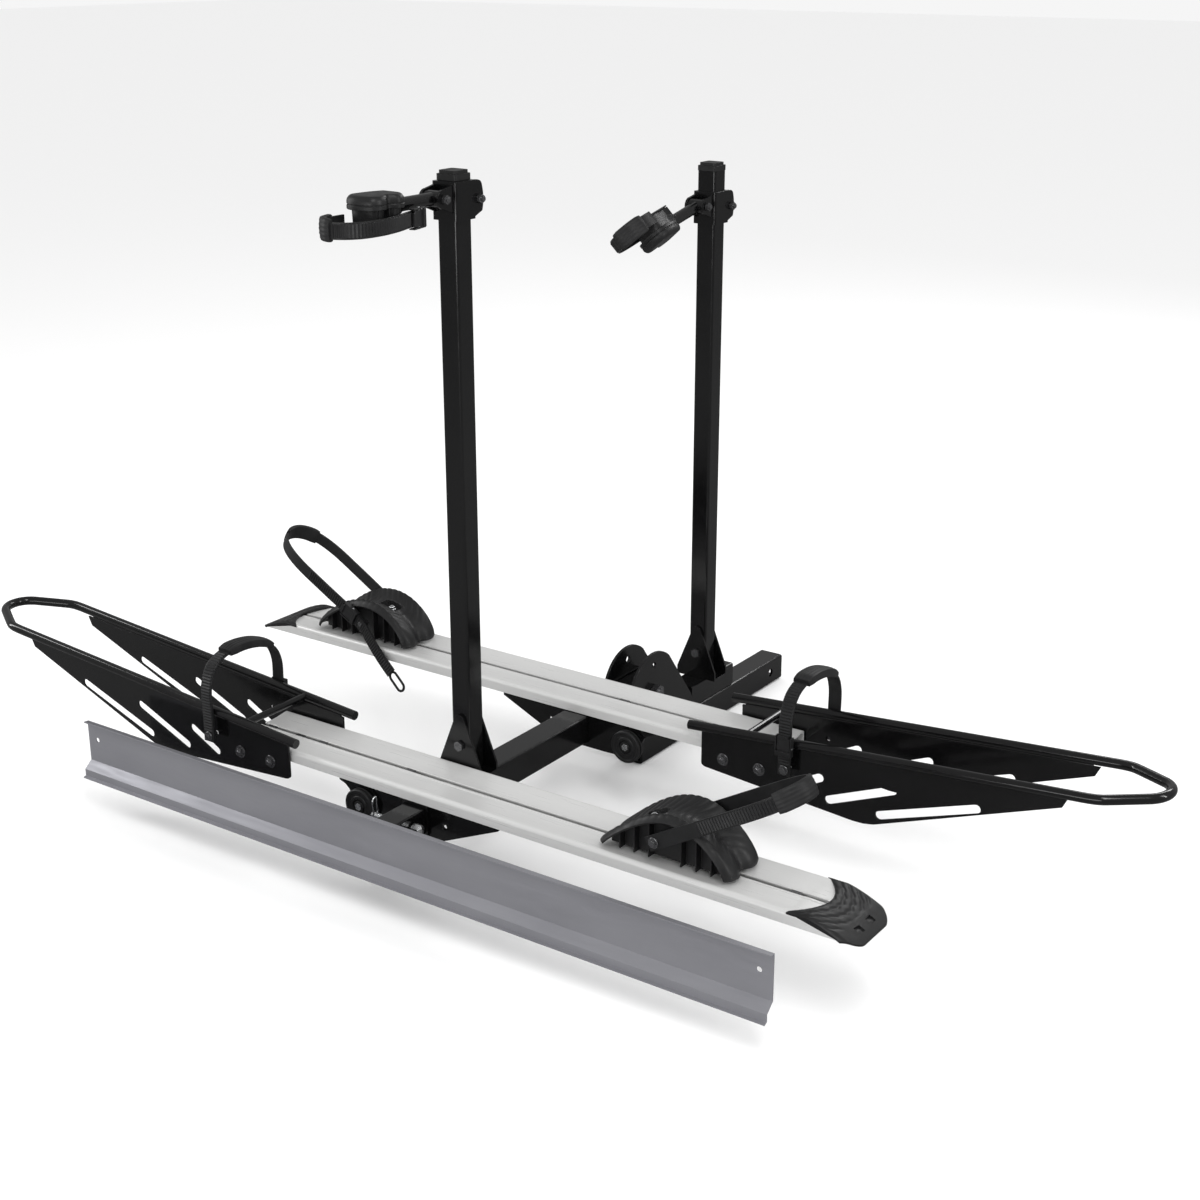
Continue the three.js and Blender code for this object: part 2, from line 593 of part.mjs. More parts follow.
// A plate across the beam under the tray, with a flange on top and an ear for the roller.
function bracket(side, y, inward) {
  const ear = new THREE.Vector2(ROLLER.u, ROLLER.z);
  const { r, from, sweep, steps } = BRACKET_EAR;
  const shape = new THREE.Shape();
  shape.moveTo(side * BRACKET_TIP, BRACKET_TOP);
  shape.lineTo(side * BRACKET_TIP, BRACKET_TOP - 6);
  shape.lineTo(side * 42, BRACKET_LOW + 2);
  shape.lineTo(side * 34, BRACKET_LOW);
  shape.lineTo(side * -60, BRACKET_LOW);
  for (let i = 0; i <= steps; i += 1) {
    const angle = Math.PI * (from - sweep * (i / steps));
    shape.lineTo(side * (ear.x + r * Math.cos(angle)), ear.y + r * Math.sin(angle));
  }
  shape.quadraticCurveTo(side * -140, -8, side * -BRACKET_TIP, BRACKET_TOP - 5);
  shape.lineTo(side * -BRACKET_TIP, BRACKET_TOP);
  const [v0, v1] = [y - PLATE / 2, y + PLATE / 2];
  const { half: flangeHalf, width, thick } = BRACKET_FLANGE;
  const flange = inward > 0 ? [v0, v1 + width] : [v0 - width, v1];
  const plate = join(
    plateXZ(shape, v0, v1),
    box(-flangeHalf, flange[0], BRACKET_TOP - thick, flangeHalf, flange[1], BRACKET_TOP),
  );
  const half = BEAM / 2 + GAP;
  return cut(
    plate,
    box(-half, y - 40, -BEAM - GAP, half, y + 40, 10),
    barY(v0 - 1, v1 + 1, side * BRACKET_HOLE.u, BRACKET_HOLE.z, BRACKET_HOLE.r),
    barY(v0 - 1, v1 + 1, side * ROLLER.u, ROLLER.z, ROLLER.bolt + GAP),
  );
}

function roller(side, y) {
  const { r, width, recess, recessR, groove, bolt } = ROLLER;
  const bore = bolt + PIN_PLAY;
  const rim = [[bore, 0], [r, 0], [r, 4], [r - groove, 5], [r - groove, width - 5], [r, width - 4],
    [r - 1, width], [recessR, width], [recessR, width - recess], [bore, width - recess], [bore, 0]];
  const disc = new THREE.LatheGeometry(rim.map(([a, b]) => new THREE.Vector2(a, b)), 20);
  return disc.rotateX(Math.PI).translate(side * ROLLER.u, y, ROLLER.z);
}

function rollerBolt(side, y0, y1) {
  const { z, bolt, nutR } = ROLLER;
  const x = side * ROLLER.u;
  return join(
    barY(y0 - 4, y1, x, z, bolt),
    barY(y0 - 5, y0, x, z, nutR, HEX),
    barY(y1, y1 + 8, x, z, nutR, HEX),
  );
}

// ---- Wheel cradle: two arched rims and a lower bed, clamped to the tray's slot ----
function humpShape(side, peak) {
  const { left, right, foot } = CRADLE;
  const rise = peak - foot;
  const points = [[left, foot], [left + 3, foot + 6]];
  for (let i = 1; i <= 15; i += 1) {
    const t = i / 16;
    const u = left + 3 + (right - left - 3) * t;
    const hump = Math.sin(Math.PI * Math.pow(t, 0.82)) ** 0.8;
    points.push([u, foot + 6 * (1 - t) + rise * hump * (1 - 0.06 * t)]);
  }
  points.push([right, foot + 4], [right, foot]);
  return polygon(points.map(([u, z]) => [side * u, z]));
}

function cradle(side) {
  const { half, wall, foot, rim, bed } = CRADLE;
  const { from, to, rise } = CRADLE_POCKET;
  const { u, hole, seat, recessR } = CRADLE_BOLT;
  const body = join(
    plateXZ(humpShape(side, rim), -half, -half + wall),
    plateXZ(humpShape(side, rim), half - wall, half),
    plateXZ(humpShape(side, bed), -half + wall - 1, half - wall + 1),
  );
  const pinX = side * CRADLE_PIN.u;
  const pinHole = STRAP_PIN_R + PIN_PLAY;
  return cut(
    body,
    box(-to, -half + wall, foot - 5, -from, half - wall, foot + rise),
    box(from, -half + wall, foot - 5, to, half - wall, foot + rise),
    barZ(foot - 1, foot + 60, side * u, 0, hole, 12),
    barZ(foot + seat, foot + 90, side * u, 0, recessR, 16),
    barY(-half - 1, -half + wall + 1, pinX, CRADLE_PIN.z, pinHole),
    barY(half - wall - 1, half + 1, pinX, CRADLE_PIN.z, pinHole),
  );
}

// The bolt's square foot slides inside the tray's channel.
function cradleBolt(side) {
  const { u, r, headR, head, seat, nut } = CRADLE_BOLT;
  const x = side * u;
  return join(
    box(x - nut, -nut, TRAY_BOTTOM + 5, x + nut, nut, TRAY_TOP - 9),
    barZ(TRAY_TOP - 10, CRADLE.foot + seat + 1, x, 0, r, 12),
    barZ(CRADLE.foot + seat + GAP, CRADLE.foot + head, x, 0, headR, HEX),
  );
}

function cradleStrap(side) {
  const { half } = CRADLE;
  const { start, straight, bulge, offset, steps } = CRADLE_STRAP;
  const arm = half + offset;
  const line = [[start, -arm], [straight, -arm]];
  for (let i = 1; i < steps; i += 1) {
    const angle = Math.PI * (i / steps);
    line.push([straight + bulge * Math.sin(angle), -arm * Math.cos(angle)]);
  }
  line.push([straight, arm], [start, arm]);
  const band = bandShape(line.map(([w, v]) => [side * w, v]), STRAP);
  const loop = plateXY(band, -STRAP_WIDTH / 2, STRAP_WIDTH / 2);
  const strap = join(
    loop,
    barY(-arm - 4, -half + 7, 0, 0, STRAP_PIN_R),
    barY(half - 7, arm + 4, 0, 0, STRAP_PIN_R),
  );
  return strap.rotateY(-side * CRADLE_STRAP_TILT).translate(side * CRADLE_PIN.u, 0, CRADLE_PIN.z);
}

function trayUnit(label, side, y, cradleU) {
  add(rack, `${label}_tray`, tray(side, y), ALUMINIUM);
  add(rack, `${label}_tray_end_cap`, endCap(side, y), PLASTIC);
  add(rack, `${label}_hoop`, hoop(side, y), BLACK);
  add(rack, `${label}_hoop_plate_near`, hoopPlate(side, y, -1), BLACK);
  add(rack, `${label}_hoop_plate_far`, hoopPlate(side, y, 1), BLACK);
  HOOP_BOLTS.forEach((u, i) => {
    const reach = HOOP_PLATE.y + HOOP_PLATE.thick / 2 + 0.1;
    const bolt = throughBoltY(y - reach, y + reach, side * u, HOOP_BOLT_Z, BOLT_R);
    add(rack, `${label}_hoop_bolt_${i + 1}`, bolt, DARK_ZINC);
  });
  add(rack, `${label}_hoop_strap`, hoopStrap(side, y), STRAP_PLASTIC);
  add(rack, `${label}_bracket_near`, bracket(side, y - BRACKET_Y, 1), BLACK);
  add(rack, `${label}_bracket_far`, bracket(side, y + BRACKET_Y, -1), BLACK);
  const plateFace = y - BRACKET_Y - PLATE / 2;
  add(rack, `${label}_roller`, roller(side, plateFace - 0.5), PLASTIC);
  const boltFrom = plateFace - 0.5 - ROLLER.width + ROLLER.recess - GAP;
  add(rack, `${label}_roller_bolt`, rollerBolt(side, boltFrom, plateFace + PLATE + 0.1), DARK_ZINC);

  const seat = new THREE.Group();
  seat.position.set(side * cradleU, y, 0);
  rack.add(seat);
  add(seat, `${label}_cradle`, cradle(side), PLASTIC);
  add(seat, `${label}_cradle_bolt`, cradleBolt(side), DARK_ZINC);
  add(seat, `${label}_cradle_strap`, cradleStrap(side), STRAP_PLASTIC);
}

trayUnit('front', 1, 0, FRONT_CRADLE_U);
trayUnit('rear', -1, TRAY_PITCH, REAR_CRADLE_U);

// ---- Masts, collars, arms and frame clamps ----
function mastBase() {
  const { half, play, plate, shoulder, neck, neckHalf, crown } = MAST_BASE;
  const cheek = new THREE.Shape();
  cheek.moveTo(-half, GAP);
  cheek.lineTo(half, GAP);
  cheek.lineTo(half, shoulder);
  cheek.lineTo(neckHalf, neck);
  cheek.quadraticCurveTo(0, crown, -neckHalf, neck);
  cheek.lineTo(-half, shoulder);
  const inner = MAST / 2 + play;
  const outer = inner + plate;
  const base = join(
    plateXZ(cheek, -outer, -inner),
    plateXZ(cheek, inner, outer),
    box(-half, -outer, GAP, half, outer, GAP + plate),
  );
  return cut(base, barY(-outer - 1, outer + 1, 0, MAST_PIVOT_RISE, MAST_BOLT_R + GAP));
}

function mastTube(length) {
  const section = squareTubeShape(0, 0, MAST, MAST_WALL, MAST_CORNER);
  const tube = plateXY(section, MAST_FOOT_RISE, length - MAST_CAP.height);
  return cut(tube, barY(-MAST, MAST, 0, MAST_PIVOT_RISE, MAST_BOLT_R + GAP));
}

// A plug in the tube's bore under a rim and a smaller raised top.
function mastCap(length) {
  const { height, rim, rimSize, topSize, plug } = MAST_CAP;
  const top = length - height;
  const bore = MAST - 2 * MAST_WALL - 1;
  return join(
    plateXY(roundedRect(0, 0, rimSize, rimSize, 4.5), top + 0.1, top + rim),
    plateXY(roundedRect(0, 0, topSize, topSize, 4), top + rim - 1, length),
    plateXY(roundedRect(0, 0, bore, bore, 2), top - plug, top + 1),
  );
}

// The collar slides on the mast. It carries two cheeks for the arm and two ears for its clamp bolt.
function collar() {
  const { outer, height, corner, plate, boltY } = COLLAR;
  const side = outer / 2;
  const eye = -side - ARM_PIVOT_Y;
  const cheek = new THREE.Shape();
  cheek.moveTo(-side + plate, COLLAR_EYE.low);
  cheek.lineTo(-side + plate, COLLAR_EYE.high);
  cheek.lineTo(eye, ARM_PIVOT_RISE + COLLAR_EYE.r);
  cheek.absarc(eye, ARM_PIVOT_RISE, COLLAR_EYE.r, Math.PI / 2, Math.PI * 1.5);
  const ear = new THREE.Shape();
  const { reach, bulge, low, high } = COLLAR_EAR;
  ear.moveTo(side - 6, -height / 2 + 2);
  ear.lineTo(side + reach, -height / 2 + low);
  ear.quadraticCurveTo(side + bulge, 0, side + reach, height / 2 - high);
  ear.quadraticCurveTo(side + reach - 2, height / 2, side, height / 2);
  ear.lineTo(side - 6, height / 2);
  const body = join(
    plateXY(roundedRect(0, 0, outer, outer, corner), -height / 2, height / 2),
    plateYZ(cheek, -COLLAR_EYE.outer, -COLLAR_EYE.inner, 8),
    plateYZ(cheek, COLLAR_EYE.inner, COLLAR_EYE.outer, 8),
    plateYZ(ear, side - plate, side, 8),
    plateYZ(ear, -side, -side + plate, 8),
  );
  const bore = MAST / 2 + GAP;
  return cut(
    body,
    box(-bore, -bore, -height, bore, bore, height),
    barX(-30, 30, eye, ARM_PIVOT_RISE, BOLT_R + GAP),
    barX(-30, 30, side + boltY, 0, BOLT_R + GAP),
  );
}

function arm() {
  const { r, length, knuckleR, knuckleHalf, ringFrom, ringTo, ring } = ARM;
  return join(
    barX(-knuckleHalf, knuckleHalf, 0, 0, knuckleR, 16),
    barY(-length, 0, 0, 0, r, 20),
    barY(-ringTo, -ringFrom, 0, 0, r + ring, 20),
  );
}

// The clamp head: a domed shell over a narrower body, socketed on the arm's end.
function clampHead() {
  const { near, far, low, shoulder, top, depth, socketR, socket } = HEAD;
  const waist = (near + far) / 2;
  const outline = (inset) => {
    const shape = new THREE.Shape();
    shape.moveTo(15 - inset, near - inset);
    shape.lineTo(27 - inset, near - 14);
    shape.quadraticCurveTo(33 - inset, waist, 24 - inset, far + 12 + inset);
    shape.quadraticCurveTo(0, far - 8 + inset, -24 + inset, far + 8 + inset);
    shape.quadraticCurveTo(-31 + inset, waist, -24 + inset, near - 10);
    shape.lineTo(-13 + inset, near - inset);
    return shape;
  };
  return cut(
    join(
      plateXY(outline(0), low, shoulder),
      plateXY(outline(6), shoulder - 1, top),
      plateXY(outline(7), -depth, low + 1),
      barY(near - socket, near, 0, 0, socketR, 16),
    ),
    barY(-ARM.length - 2, -80, 0, 0, ARM.r + GAP, 20),
  );
}

// The toothed strap runs round the head's end from a ratchet buckle beside the arm.
function headStrap() {
  const knots = [[16, -50], [24, -84], [36, -125], [41, -165], [34, -203], [8, -224], [-20, -212],
    [-31, -186], [-32, -158]];
  const line = new THREE.SplineCurve(knots.map(([x, y]) => new THREE.Vector2(x, y))).getPoints(20);
  const [low, high] = [HEAD_STRAP_Z - STRAP_WIDTH / 2, HEAD_STRAP_Z + STRAP_WIDTH / 2];
  const { x0, x1, y0, y1, proud } = HEAD_BUCKLE;
  return join(
    plateXY(bandShape(line.map(({ x, y }) => [x, y]), STRAP), low, high),
    box(x0, y0, low - proud, x1, y1, high + proud),
  );
}

function mastUnit(label, spec, armTilt, headTurn) {
  const foot = new THREE.Group();
  foot.position.set(spec.x, spec.y, spec.base);
  rack.add(foot);
  const length = spec.top - spec.base;
  const reach = MAST / 2 + MAST_BASE.play + MAST_BASE.plate + 0.1;
  add(foot, `${label}_mast_base`, mastBase(), BLACK);
  const bolt = throughBoltY(-reach, reach, 0, MAST_PIVOT_RISE, MAST_BOLT_R);
  add(foot, `${label}_mast_bolt`, bolt, DARK_ZINC);
  add(foot, `${label}_mast`, mastTube(length), BLACK);
  add(foot, `${label}_mast_cap`, mastCap(length), PLASTIC);

  const slider = new THREE.Group();
  slider.position.set(0, 0, spec.collar - spec.base);
  foot.add(slider);
  add(slider, `${label}_collar`, collar(), BLACK);
  const grip = COLLAR.outer / 2 + GAP;
  const clampBolt = throughBoltX(-grip, grip, COLLAR.outer / 2 + COLLAR.boltY, 0, BOLT_R);
  add(slider, `${label}_collar_bolt`, clampBolt, DARK_ZINC);

  const pivot = new THREE.Group();
  pivot.position.set(0, -COLLAR.outer / 2 - ARM_PIVOT_Y, ARM_PIVOT_RISE);
  slider.add(pivot);
  const armReach = COLLAR_EYE.outer + GAP;
  const armBolt = throughBoltX(-armReach, armReach, 0, 0, BOLT_R);
  add(pivot, `${label}_arm_bolt`, armBolt, DARK_ZINC);
  const swing = new THREE.Group();
  swing.rotation.x = armTilt;
  pivot.add(swing);
  add(swing, `${label}_arm`, cut(arm(), barX(-30, 30, 0, 0, BOLT_R + PIN_PLAY)), BLACK);
  const turn = new THREE.Group();
  turn.rotation.y = headTurn;
  swing.add(turn);
  add(turn, `${label}_clamp_head`, clampHead(), PLASTIC);
  add(turn, `${label}_head_strap`, headStrap(), STRAP_PLASTIC);
}

mastUnit('front', FRONT_MAST, 0, 0);
mastUnit('rear', REAR_MAST, REAR_ARM_TILT, REAR_HEAD_TURN);

// ---- Loading ramp: a folded sheet channel carried on edge across the tail ----
function ramp() {
  const { x0, x1, y, sheet, lip, top, fold, foot, hem } = RAMP;
  const step = y - 15;
  const line = [[y - lip, top], [y, top], [y, fold], [step, fold - 13], [step, foot], [step - 6, hem]];
  const channel = plateYZ(bandShape(line, sheet), x0, x1);
  const hole = (x) => barY(y - 10, y + 10, x, RAMP_HOLE.z, RAMP_HOLE.r);
  return cut(channel, hole(x0 + RAMP_HOLE.inset), hole(x1 - RAMP_HOLE.inset));
}

add(rack, 'ramp', ramp(), RAMP_GREY);

export default rack;
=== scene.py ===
"""Looks of the two-bike hitch rack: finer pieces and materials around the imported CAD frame.

Everything is in metres in the frame's own axes: X along the trays, +Y towards the vehicle, +Z up.
A side is +1 for the front bike's unit, whose end cap points along +X, and -1 for the rear one, turned about.
"""
import json
import math

import bmesh
import bpy
from mathutils import Matrix, Vector


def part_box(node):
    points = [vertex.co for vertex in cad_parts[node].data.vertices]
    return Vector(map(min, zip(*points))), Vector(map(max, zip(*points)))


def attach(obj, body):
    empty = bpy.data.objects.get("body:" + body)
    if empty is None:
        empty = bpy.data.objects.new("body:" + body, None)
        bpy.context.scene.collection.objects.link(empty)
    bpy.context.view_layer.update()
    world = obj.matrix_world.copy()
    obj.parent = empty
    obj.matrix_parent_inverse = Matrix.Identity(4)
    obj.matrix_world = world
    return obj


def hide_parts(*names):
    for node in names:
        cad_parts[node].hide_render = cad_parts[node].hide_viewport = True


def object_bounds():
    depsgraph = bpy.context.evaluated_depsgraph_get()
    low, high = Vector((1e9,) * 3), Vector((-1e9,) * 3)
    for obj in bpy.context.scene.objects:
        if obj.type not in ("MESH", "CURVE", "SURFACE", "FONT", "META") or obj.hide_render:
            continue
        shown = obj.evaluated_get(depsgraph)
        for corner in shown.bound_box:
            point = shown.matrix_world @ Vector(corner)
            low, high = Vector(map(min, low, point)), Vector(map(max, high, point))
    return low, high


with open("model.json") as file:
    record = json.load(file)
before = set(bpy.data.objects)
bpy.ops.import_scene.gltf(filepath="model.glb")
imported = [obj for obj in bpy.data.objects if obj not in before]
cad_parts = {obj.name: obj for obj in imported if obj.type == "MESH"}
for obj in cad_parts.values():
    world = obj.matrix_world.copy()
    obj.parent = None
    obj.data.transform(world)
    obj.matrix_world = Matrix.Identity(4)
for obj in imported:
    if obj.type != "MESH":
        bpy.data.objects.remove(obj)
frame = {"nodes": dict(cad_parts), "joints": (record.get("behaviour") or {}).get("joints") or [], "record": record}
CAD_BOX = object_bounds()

MM = 0.001
X_AXIS = Vector((1, 0, 0))
Y_AXIS = Vector((0, 1, 0))
Z_AXIS = Vector((0, 0, 1))

# The deck frame of the design: its origin is on the beam's top, at this place.
DECK = Vector((0, -1.015, 0.107))

UNITS = {"front": 1, "rear": -1}
EDGES = {"near": -1, "far": 1}
SHARP = math.radians(30)

STRAP_WIDTH = 23 * MM
STRAP_THICK = 3.2 * MM
PAD_WIDTH = 30 * MM
TOOTH_PITCH = 5 * MM
TOOTH = 1.5 * MM

# The hoops' rails in deck millimetres: where they start along the tray, their height there and their rise.
RAIL_START = -240
RAIL_Z = 42
RAIL_SLOPE = 0.078
RAIL_V = 71
RAIL_R = 8 * MM


def centre(node):
    low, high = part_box(node)
    return (low + high) / 2


def end_x(node, direction):
    """Where a node ends along X in the given direction."""
    low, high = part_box(node)
    return high.x if direction > 0 else low.x


def joint_place(name):
    return Vector(next(joint["pos_m"] for joint in frame["joints"] if joint["name"] == name))


# ---- Materials ----
def new_material(name, colour, roughness, metallic=0.0):
    material = bpy.data.materials.new(name)
    material.use_nodes = True
    shader = material.node_tree.nodes["Principled BSDF"]
    shader.inputs["Base Color"].default_value = (*colour, 1)
    shader.inputs["Roughness"].default_value = roughness
    shader.inputs["Metallic"].default_value = metallic
    return material, material.node_tree, shader


def noise(tree, scale, detail=4.0, stretch=(1, 1, 1)):
    """Noise in object space, stretched along an axis where a stretch value is small."""
    place = tree.nodes.new("ShaderNodeTexCoord")
    mapping = tree.nodes.new("ShaderNodeMapping")
    mapping.inputs["Scale"].default_value = stretch
    texture = tree.nodes.new("ShaderNodeTexNoise")
    texture.inputs["Scale"].default_value = scale
    texture.inputs["Detail"].default_value = detail
    tree.links.new(place.outputs["Object"], mapping.inputs["Vector"])
    tree.links.new(mapping.outputs["Vector"], texture.inputs["Vector"])
    return texture.outputs["Fac"]


def remap(tree, source, low, high):
    node = tree.nodes.new("ShaderNodeMapRange")
    node.inputs["From Min"].default_value = 0.3
    node.inputs["From Max"].default_value = 0.7
    node.inputs["To Min"].default_value = low
    node.inputs["To Max"].default_value = high
    tree.links.new(source, node.inputs["Value"])
    return node.outputs["Result"]


def vary_colour(tree, shader, source, dark, light):
    ramp = tree.nodes.new("ShaderNodeValToRGB")
    ramp.color_ramp.elements[0].position = 0.3
    ramp.color_ramp.elements[0].color = (*dark, 1)
    ramp.color_ramp.elements[1].position = 0.7
    ramp.color_ramp.elements[1].color = (*light, 1)
    tree.links.new(source, ramp.inputs["Fac"])
    tree.links.new(ramp.outputs["Color"], shader.inputs["Base Color"])


def bump(tree, shader, source, strength, distance):
    """A fine relief, with edges rounded for the light by a small bevel radius."""
    bevel = tree.nodes.new("ShaderNodeBevel")
    bevel.samples = 4
    bevel.inputs["Radius"].default_value = 0.8 * MM
    node = tree.nodes.new("ShaderNodeBump")
    node.inputs["Strength"].default_value = strength
    node.inputs["Distance"].default_value = distance
    tree.links.new(source, node.inputs["Height"])
    tree.links.new(bevel.outputs["Normal"], node.inputs["Normal"])
    tree.links.new(node.outputs["Normal"], shader.inputs["Normal"])


def powder_coat():
    material, tree, shader = new_material("black_powder_coat", (0.004, 0.004, 0.0043), 0.22)
    shader.inputs["Specular IOR Level"].default_value = 0.5
    vary_colour(tree, shader, noise(tree, 9), (0.0022, 0.0022, 0.0024), (0.0038, 0.0038, 0.004))
    tree.links.new(remap(tree, noise(tree, 40), 0.11, 0.19), shader.inputs["Roughness"])
    bump(tree, shader, noise(tree, 420, 3), 0.07, 0.3 * MM)
    return material


def tray_aluminium():
    material, tree, shader = new_material("tray_aluminium", (0.66, 0.66, 0.65), 0.3, 0.32)
    brushing = noise(tree, 900, 5, (0.012, 1, 1))
    vary_colour(tree, shader, noise(tree, 60, 3, (0.05, 1, 1)), (0.652, 0.652, 0.645), (0.672, 0.672, 0.664))
    tree.links.new(remap(tree, brushing, 0.27, 0.35), shader.inputs["Roughness"])
    bump(tree, shader, brushing, 0.012, 0.1 * MM)
    return material


def ramp_sheet():
    material, tree, shader = new_material("ramp_sheet", (0.33, 0.33, 0.355), 0.42, 0.6)
    vary_colour(tree, shader, noise(tree, 11, 4, (0.4, 1, 1)), (0.285, 0.285, 0.31), (0.315, 0.315, 0.34))
    tree.links.new(remap(tree, noise(tree, 120, 4, (0.1, 1, 1)), 0.36, 0.52), shader.inputs["Roughness"])
    bump(tree, shader, noise(tree, 700, 3), 0.08, 0.2 * MM)
    return material


def moulded_plastic():
    material, tree, shader = new_material("moulded_plastic", (0.011, 0.011, 0.0115), 0.46)
    shader.inputs["Specular IOR Level"].default_value = 0.42
    vary_colour(tree, shader, noise(tree, 25), (0.006, 0.006, 0.0064), (0.0095, 0.0095, 0.01))
    tree.links.new(remap(tree, noise(tree, 90), 0.38, 0.52), shader.inputs["Roughness"])
    bump(tree, shader, noise(tree, 1400, 2), 0.2, 0.2 * MM)
    return material


def strap_plastic():
    material, tree, shader = new_material("strap_plastic", (0.013, 0.013, 0.0135), 0.4)
    shader.inputs["Specular IOR Level"].default_value = 0.42
    vary_colour(tree, shader, noise(tree, 35), (0.0065, 0.0065, 0.007), (0.011, 0.011, 0.0115))
    tree.links.new(remap(tree, noise(tree, 150), 0.36, 0.5), shader.inputs["Roughness"])
    bump(tree, shader, noise(tree, 1100, 2), 0.15, 0.15 * MM)
    return material


def pad_rubber():
    material, tree, shader = new_material("pad_rubber", (0.016, 0.016, 0.0165), 0.5)
    shader.inputs["Specular IOR Level"].default_value = 0.3
    vary_colour(tree, shader, noise(tree, 50), (0.009, 0.009, 0.0095), (0.016, 0.016, 0.0165))
    bump(tree, shader, noise(tree, 900, 2, (1, 0.2, 1)), 0.25, 0.2 * MM)
    return material


def zinc():
    material, tree, shader = new_material("zinc_pin", (0.72, 0.73, 0.74), 0.22, 1.0)
    tree.links.new(remap(tree, noise(tree, 160), 0.16, 0.32), shader.inputs["Roughness"])
    bump(tree, shader, noise(tree, 800, 2), 0.08, 0.1 * MM)
    return material


def dark_fastener():
    material, tree, shader = new_material("dark_fastener", (0.17, 0.17, 0.175), 0.2, 0.9)
    tree.links.new(remap(tree, noise(tree, 200), 0.14, 0.3), shader.inputs["Roughness"])
    bump(tree, shader, noise(tree, 900, 2), 0.1, 0.1 * MM)
    return material


MATERIALS = {
    "black_powder_coat": powder_coat(),
    "tray_aluminium": tray_aluminium(),
    "ramp_sheet": ramp_sheet(),
    "moulded_plastic": moulded_plastic(),
    "strap_plastic": strap_plastic(),
    "pad_rubber": pad_rubber(),
    "zinc_pin": zinc(),
    "dark_fastener": dark_fastener(),
}


def paint_frame():
    """Gives every CAD node the material of its slot in the record."""
    for part in frame["record"]["subparts"]:
        node = frame["nodes"][part["node"]]
        node.data.materials.clear()
        node.data.materials.append(MATERIALS[part["material_slot"]])


# ---- Mesh helpers ----
def piece(name, bm, slot_name, body, material=None, smooth=True, replaces=()):
    """Turns a finished bmesh into a piece that rides on a body and may stand in for CAD nodes."""
    bmesh.ops.recalc_face_normals(bm, faces=bm.faces)
    mesh = bpy.data.meshes.new(name)
    bm.to_mesh(mesh)
    bm.free()
    obj = bpy.data.objects.new(name, mesh)
    bpy.context.scene.collection.objects.link(obj)
    mesh.materials.append(material or MATERIALS[slot_name])
    for face in mesh.polygons:
        face.use_smooth = smooth
    if smooth:
        mesh.set_sharp_from_angle(angle=SHARP)
    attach(obj, body)
    if replaces:
        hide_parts(*replaces)
    return obj


def bevel_edges(obj, width, angle=35, harden=True):
    modifier = obj.modifiers.new("edges", "BEVEL")
    modifier.width = width
    modifier.segments = 2
    modifier.limit_method = "ANGLE"
    modifier.angle_limit = math.radians(angle)
    modifier.harden_normals = harden


def join(bm, one, two):
    """Quads between two equal closed outlines of vertices."""
    for i in range(len(one)):
        j = (i + 1) % len(one)
        bm.faces.new((one[i], one[j], two[j], two[i]))


def loft(bm, rings):
    """A solid through equal outlines of points, closed at both ends."""
    layers = [[bm.verts.new(p) for p in ring] for ring in rings]
    for one, two in zip(layers, layers[1:]):
        join(bm, one, two)
    bm.faces.new(list(reversed(layers[0])))
    bm.faces.new(layers[-1])


def loft_round(bm, rings):
    """A solid ring through equal outlines of points, the last joined to the first."""
    layers = [[bm.verts.new(p) for p in ring] for ring in rings]
    for one, two in zip(layers, layers[1:] + layers[:1]):
        join(bm, one, two)


def rounded_section(width, height, r, steps=4):
    """A rounded rectangle in a plane, as (a, b) pairs."""
    points = []
    corners = ((1, 1, 0), (-1, 1, 90), (-1, -1, 180), (1, -1, 270))
    for sx, sy, start in corners:
        for i in range(steps + 1):
            angle = math.radians(start + 90 * i / steps)
            points.append((
                sx * (width / 2 - r) + r * math.cos(angle),
                sy * (height / 2 - r) + r * math.sin(angle),
            ))
    return points


def circle(r, steps):
    """A round section, as (a, b) pairs."""
    return [(r * math.cos(a), r * math.sin(a)) for a in (math.tau * i / steps for i in range(steps))]


def catmull_rom(a, b, c, d, t):
    """The point at share t of the smooth span from b to c."""
    return 0.5 * (2 * b + (c - a) * t + (2 * a - 5 * b + 4 * c - d) * t * t
                  + (3 * b - a - 3 * c + d) * t ** 3)


def smooth_path(knots, count):
    """Evenly spaced points on a Catmull-Rom curve through the knots."""
    steps = 24
    ends = [knots[0] * 2 - knots[1]] + list(knots) + [knots[-1] * 2 - knots[-2]]
    dense = []
    for i in range(len(knots) - 1):
        dense += [catmull_rom(*ends[i:i + 4], k / steps) for k in range(steps)]
    dense.append(knots[-1].copy())
    return spaced(dense, count)


def spaced(points, count):
    """Evenly spaced points along a chain of points."""
    lengths = [0.0]
    for a, b in zip(points, points[1:]):
        lengths.append(lengths[-1] + (b - a).length)
    result = []
    j = 0
    for i in range(count):
        target = lengths[-1] * i / (count - 1)
        while j < len(points) - 2 and lengths[j + 1] < target:
            j += 1
        span = max(lengths[j + 1] - lengths[j], 1e-9)
        result.append(points[j].lerp(points[j + 1], (target - lengths[j]) / span))
    return result


def path_length(points):
    return sum((b - a).length for a, b in zip(points, points[1:]))


def part_of(points, start, end):
    """The points between two shares of a path."""
    count = len(points) - 1
    return points[int(count * start):int(count * end) + 1]


def frames(points, across):
    """Each point of a path with its direction across, as near to the given one as it can be, and out."""
    last = len(points) - 1
    for i, p in enumerate(points):
        ahead = (points[min(i + 1, last)] - points[max(i - 1, 0)]).normalized()
        side = (across - ahead * across.dot(ahead)).normalized()
        yield p, side, ahead.cross(side)


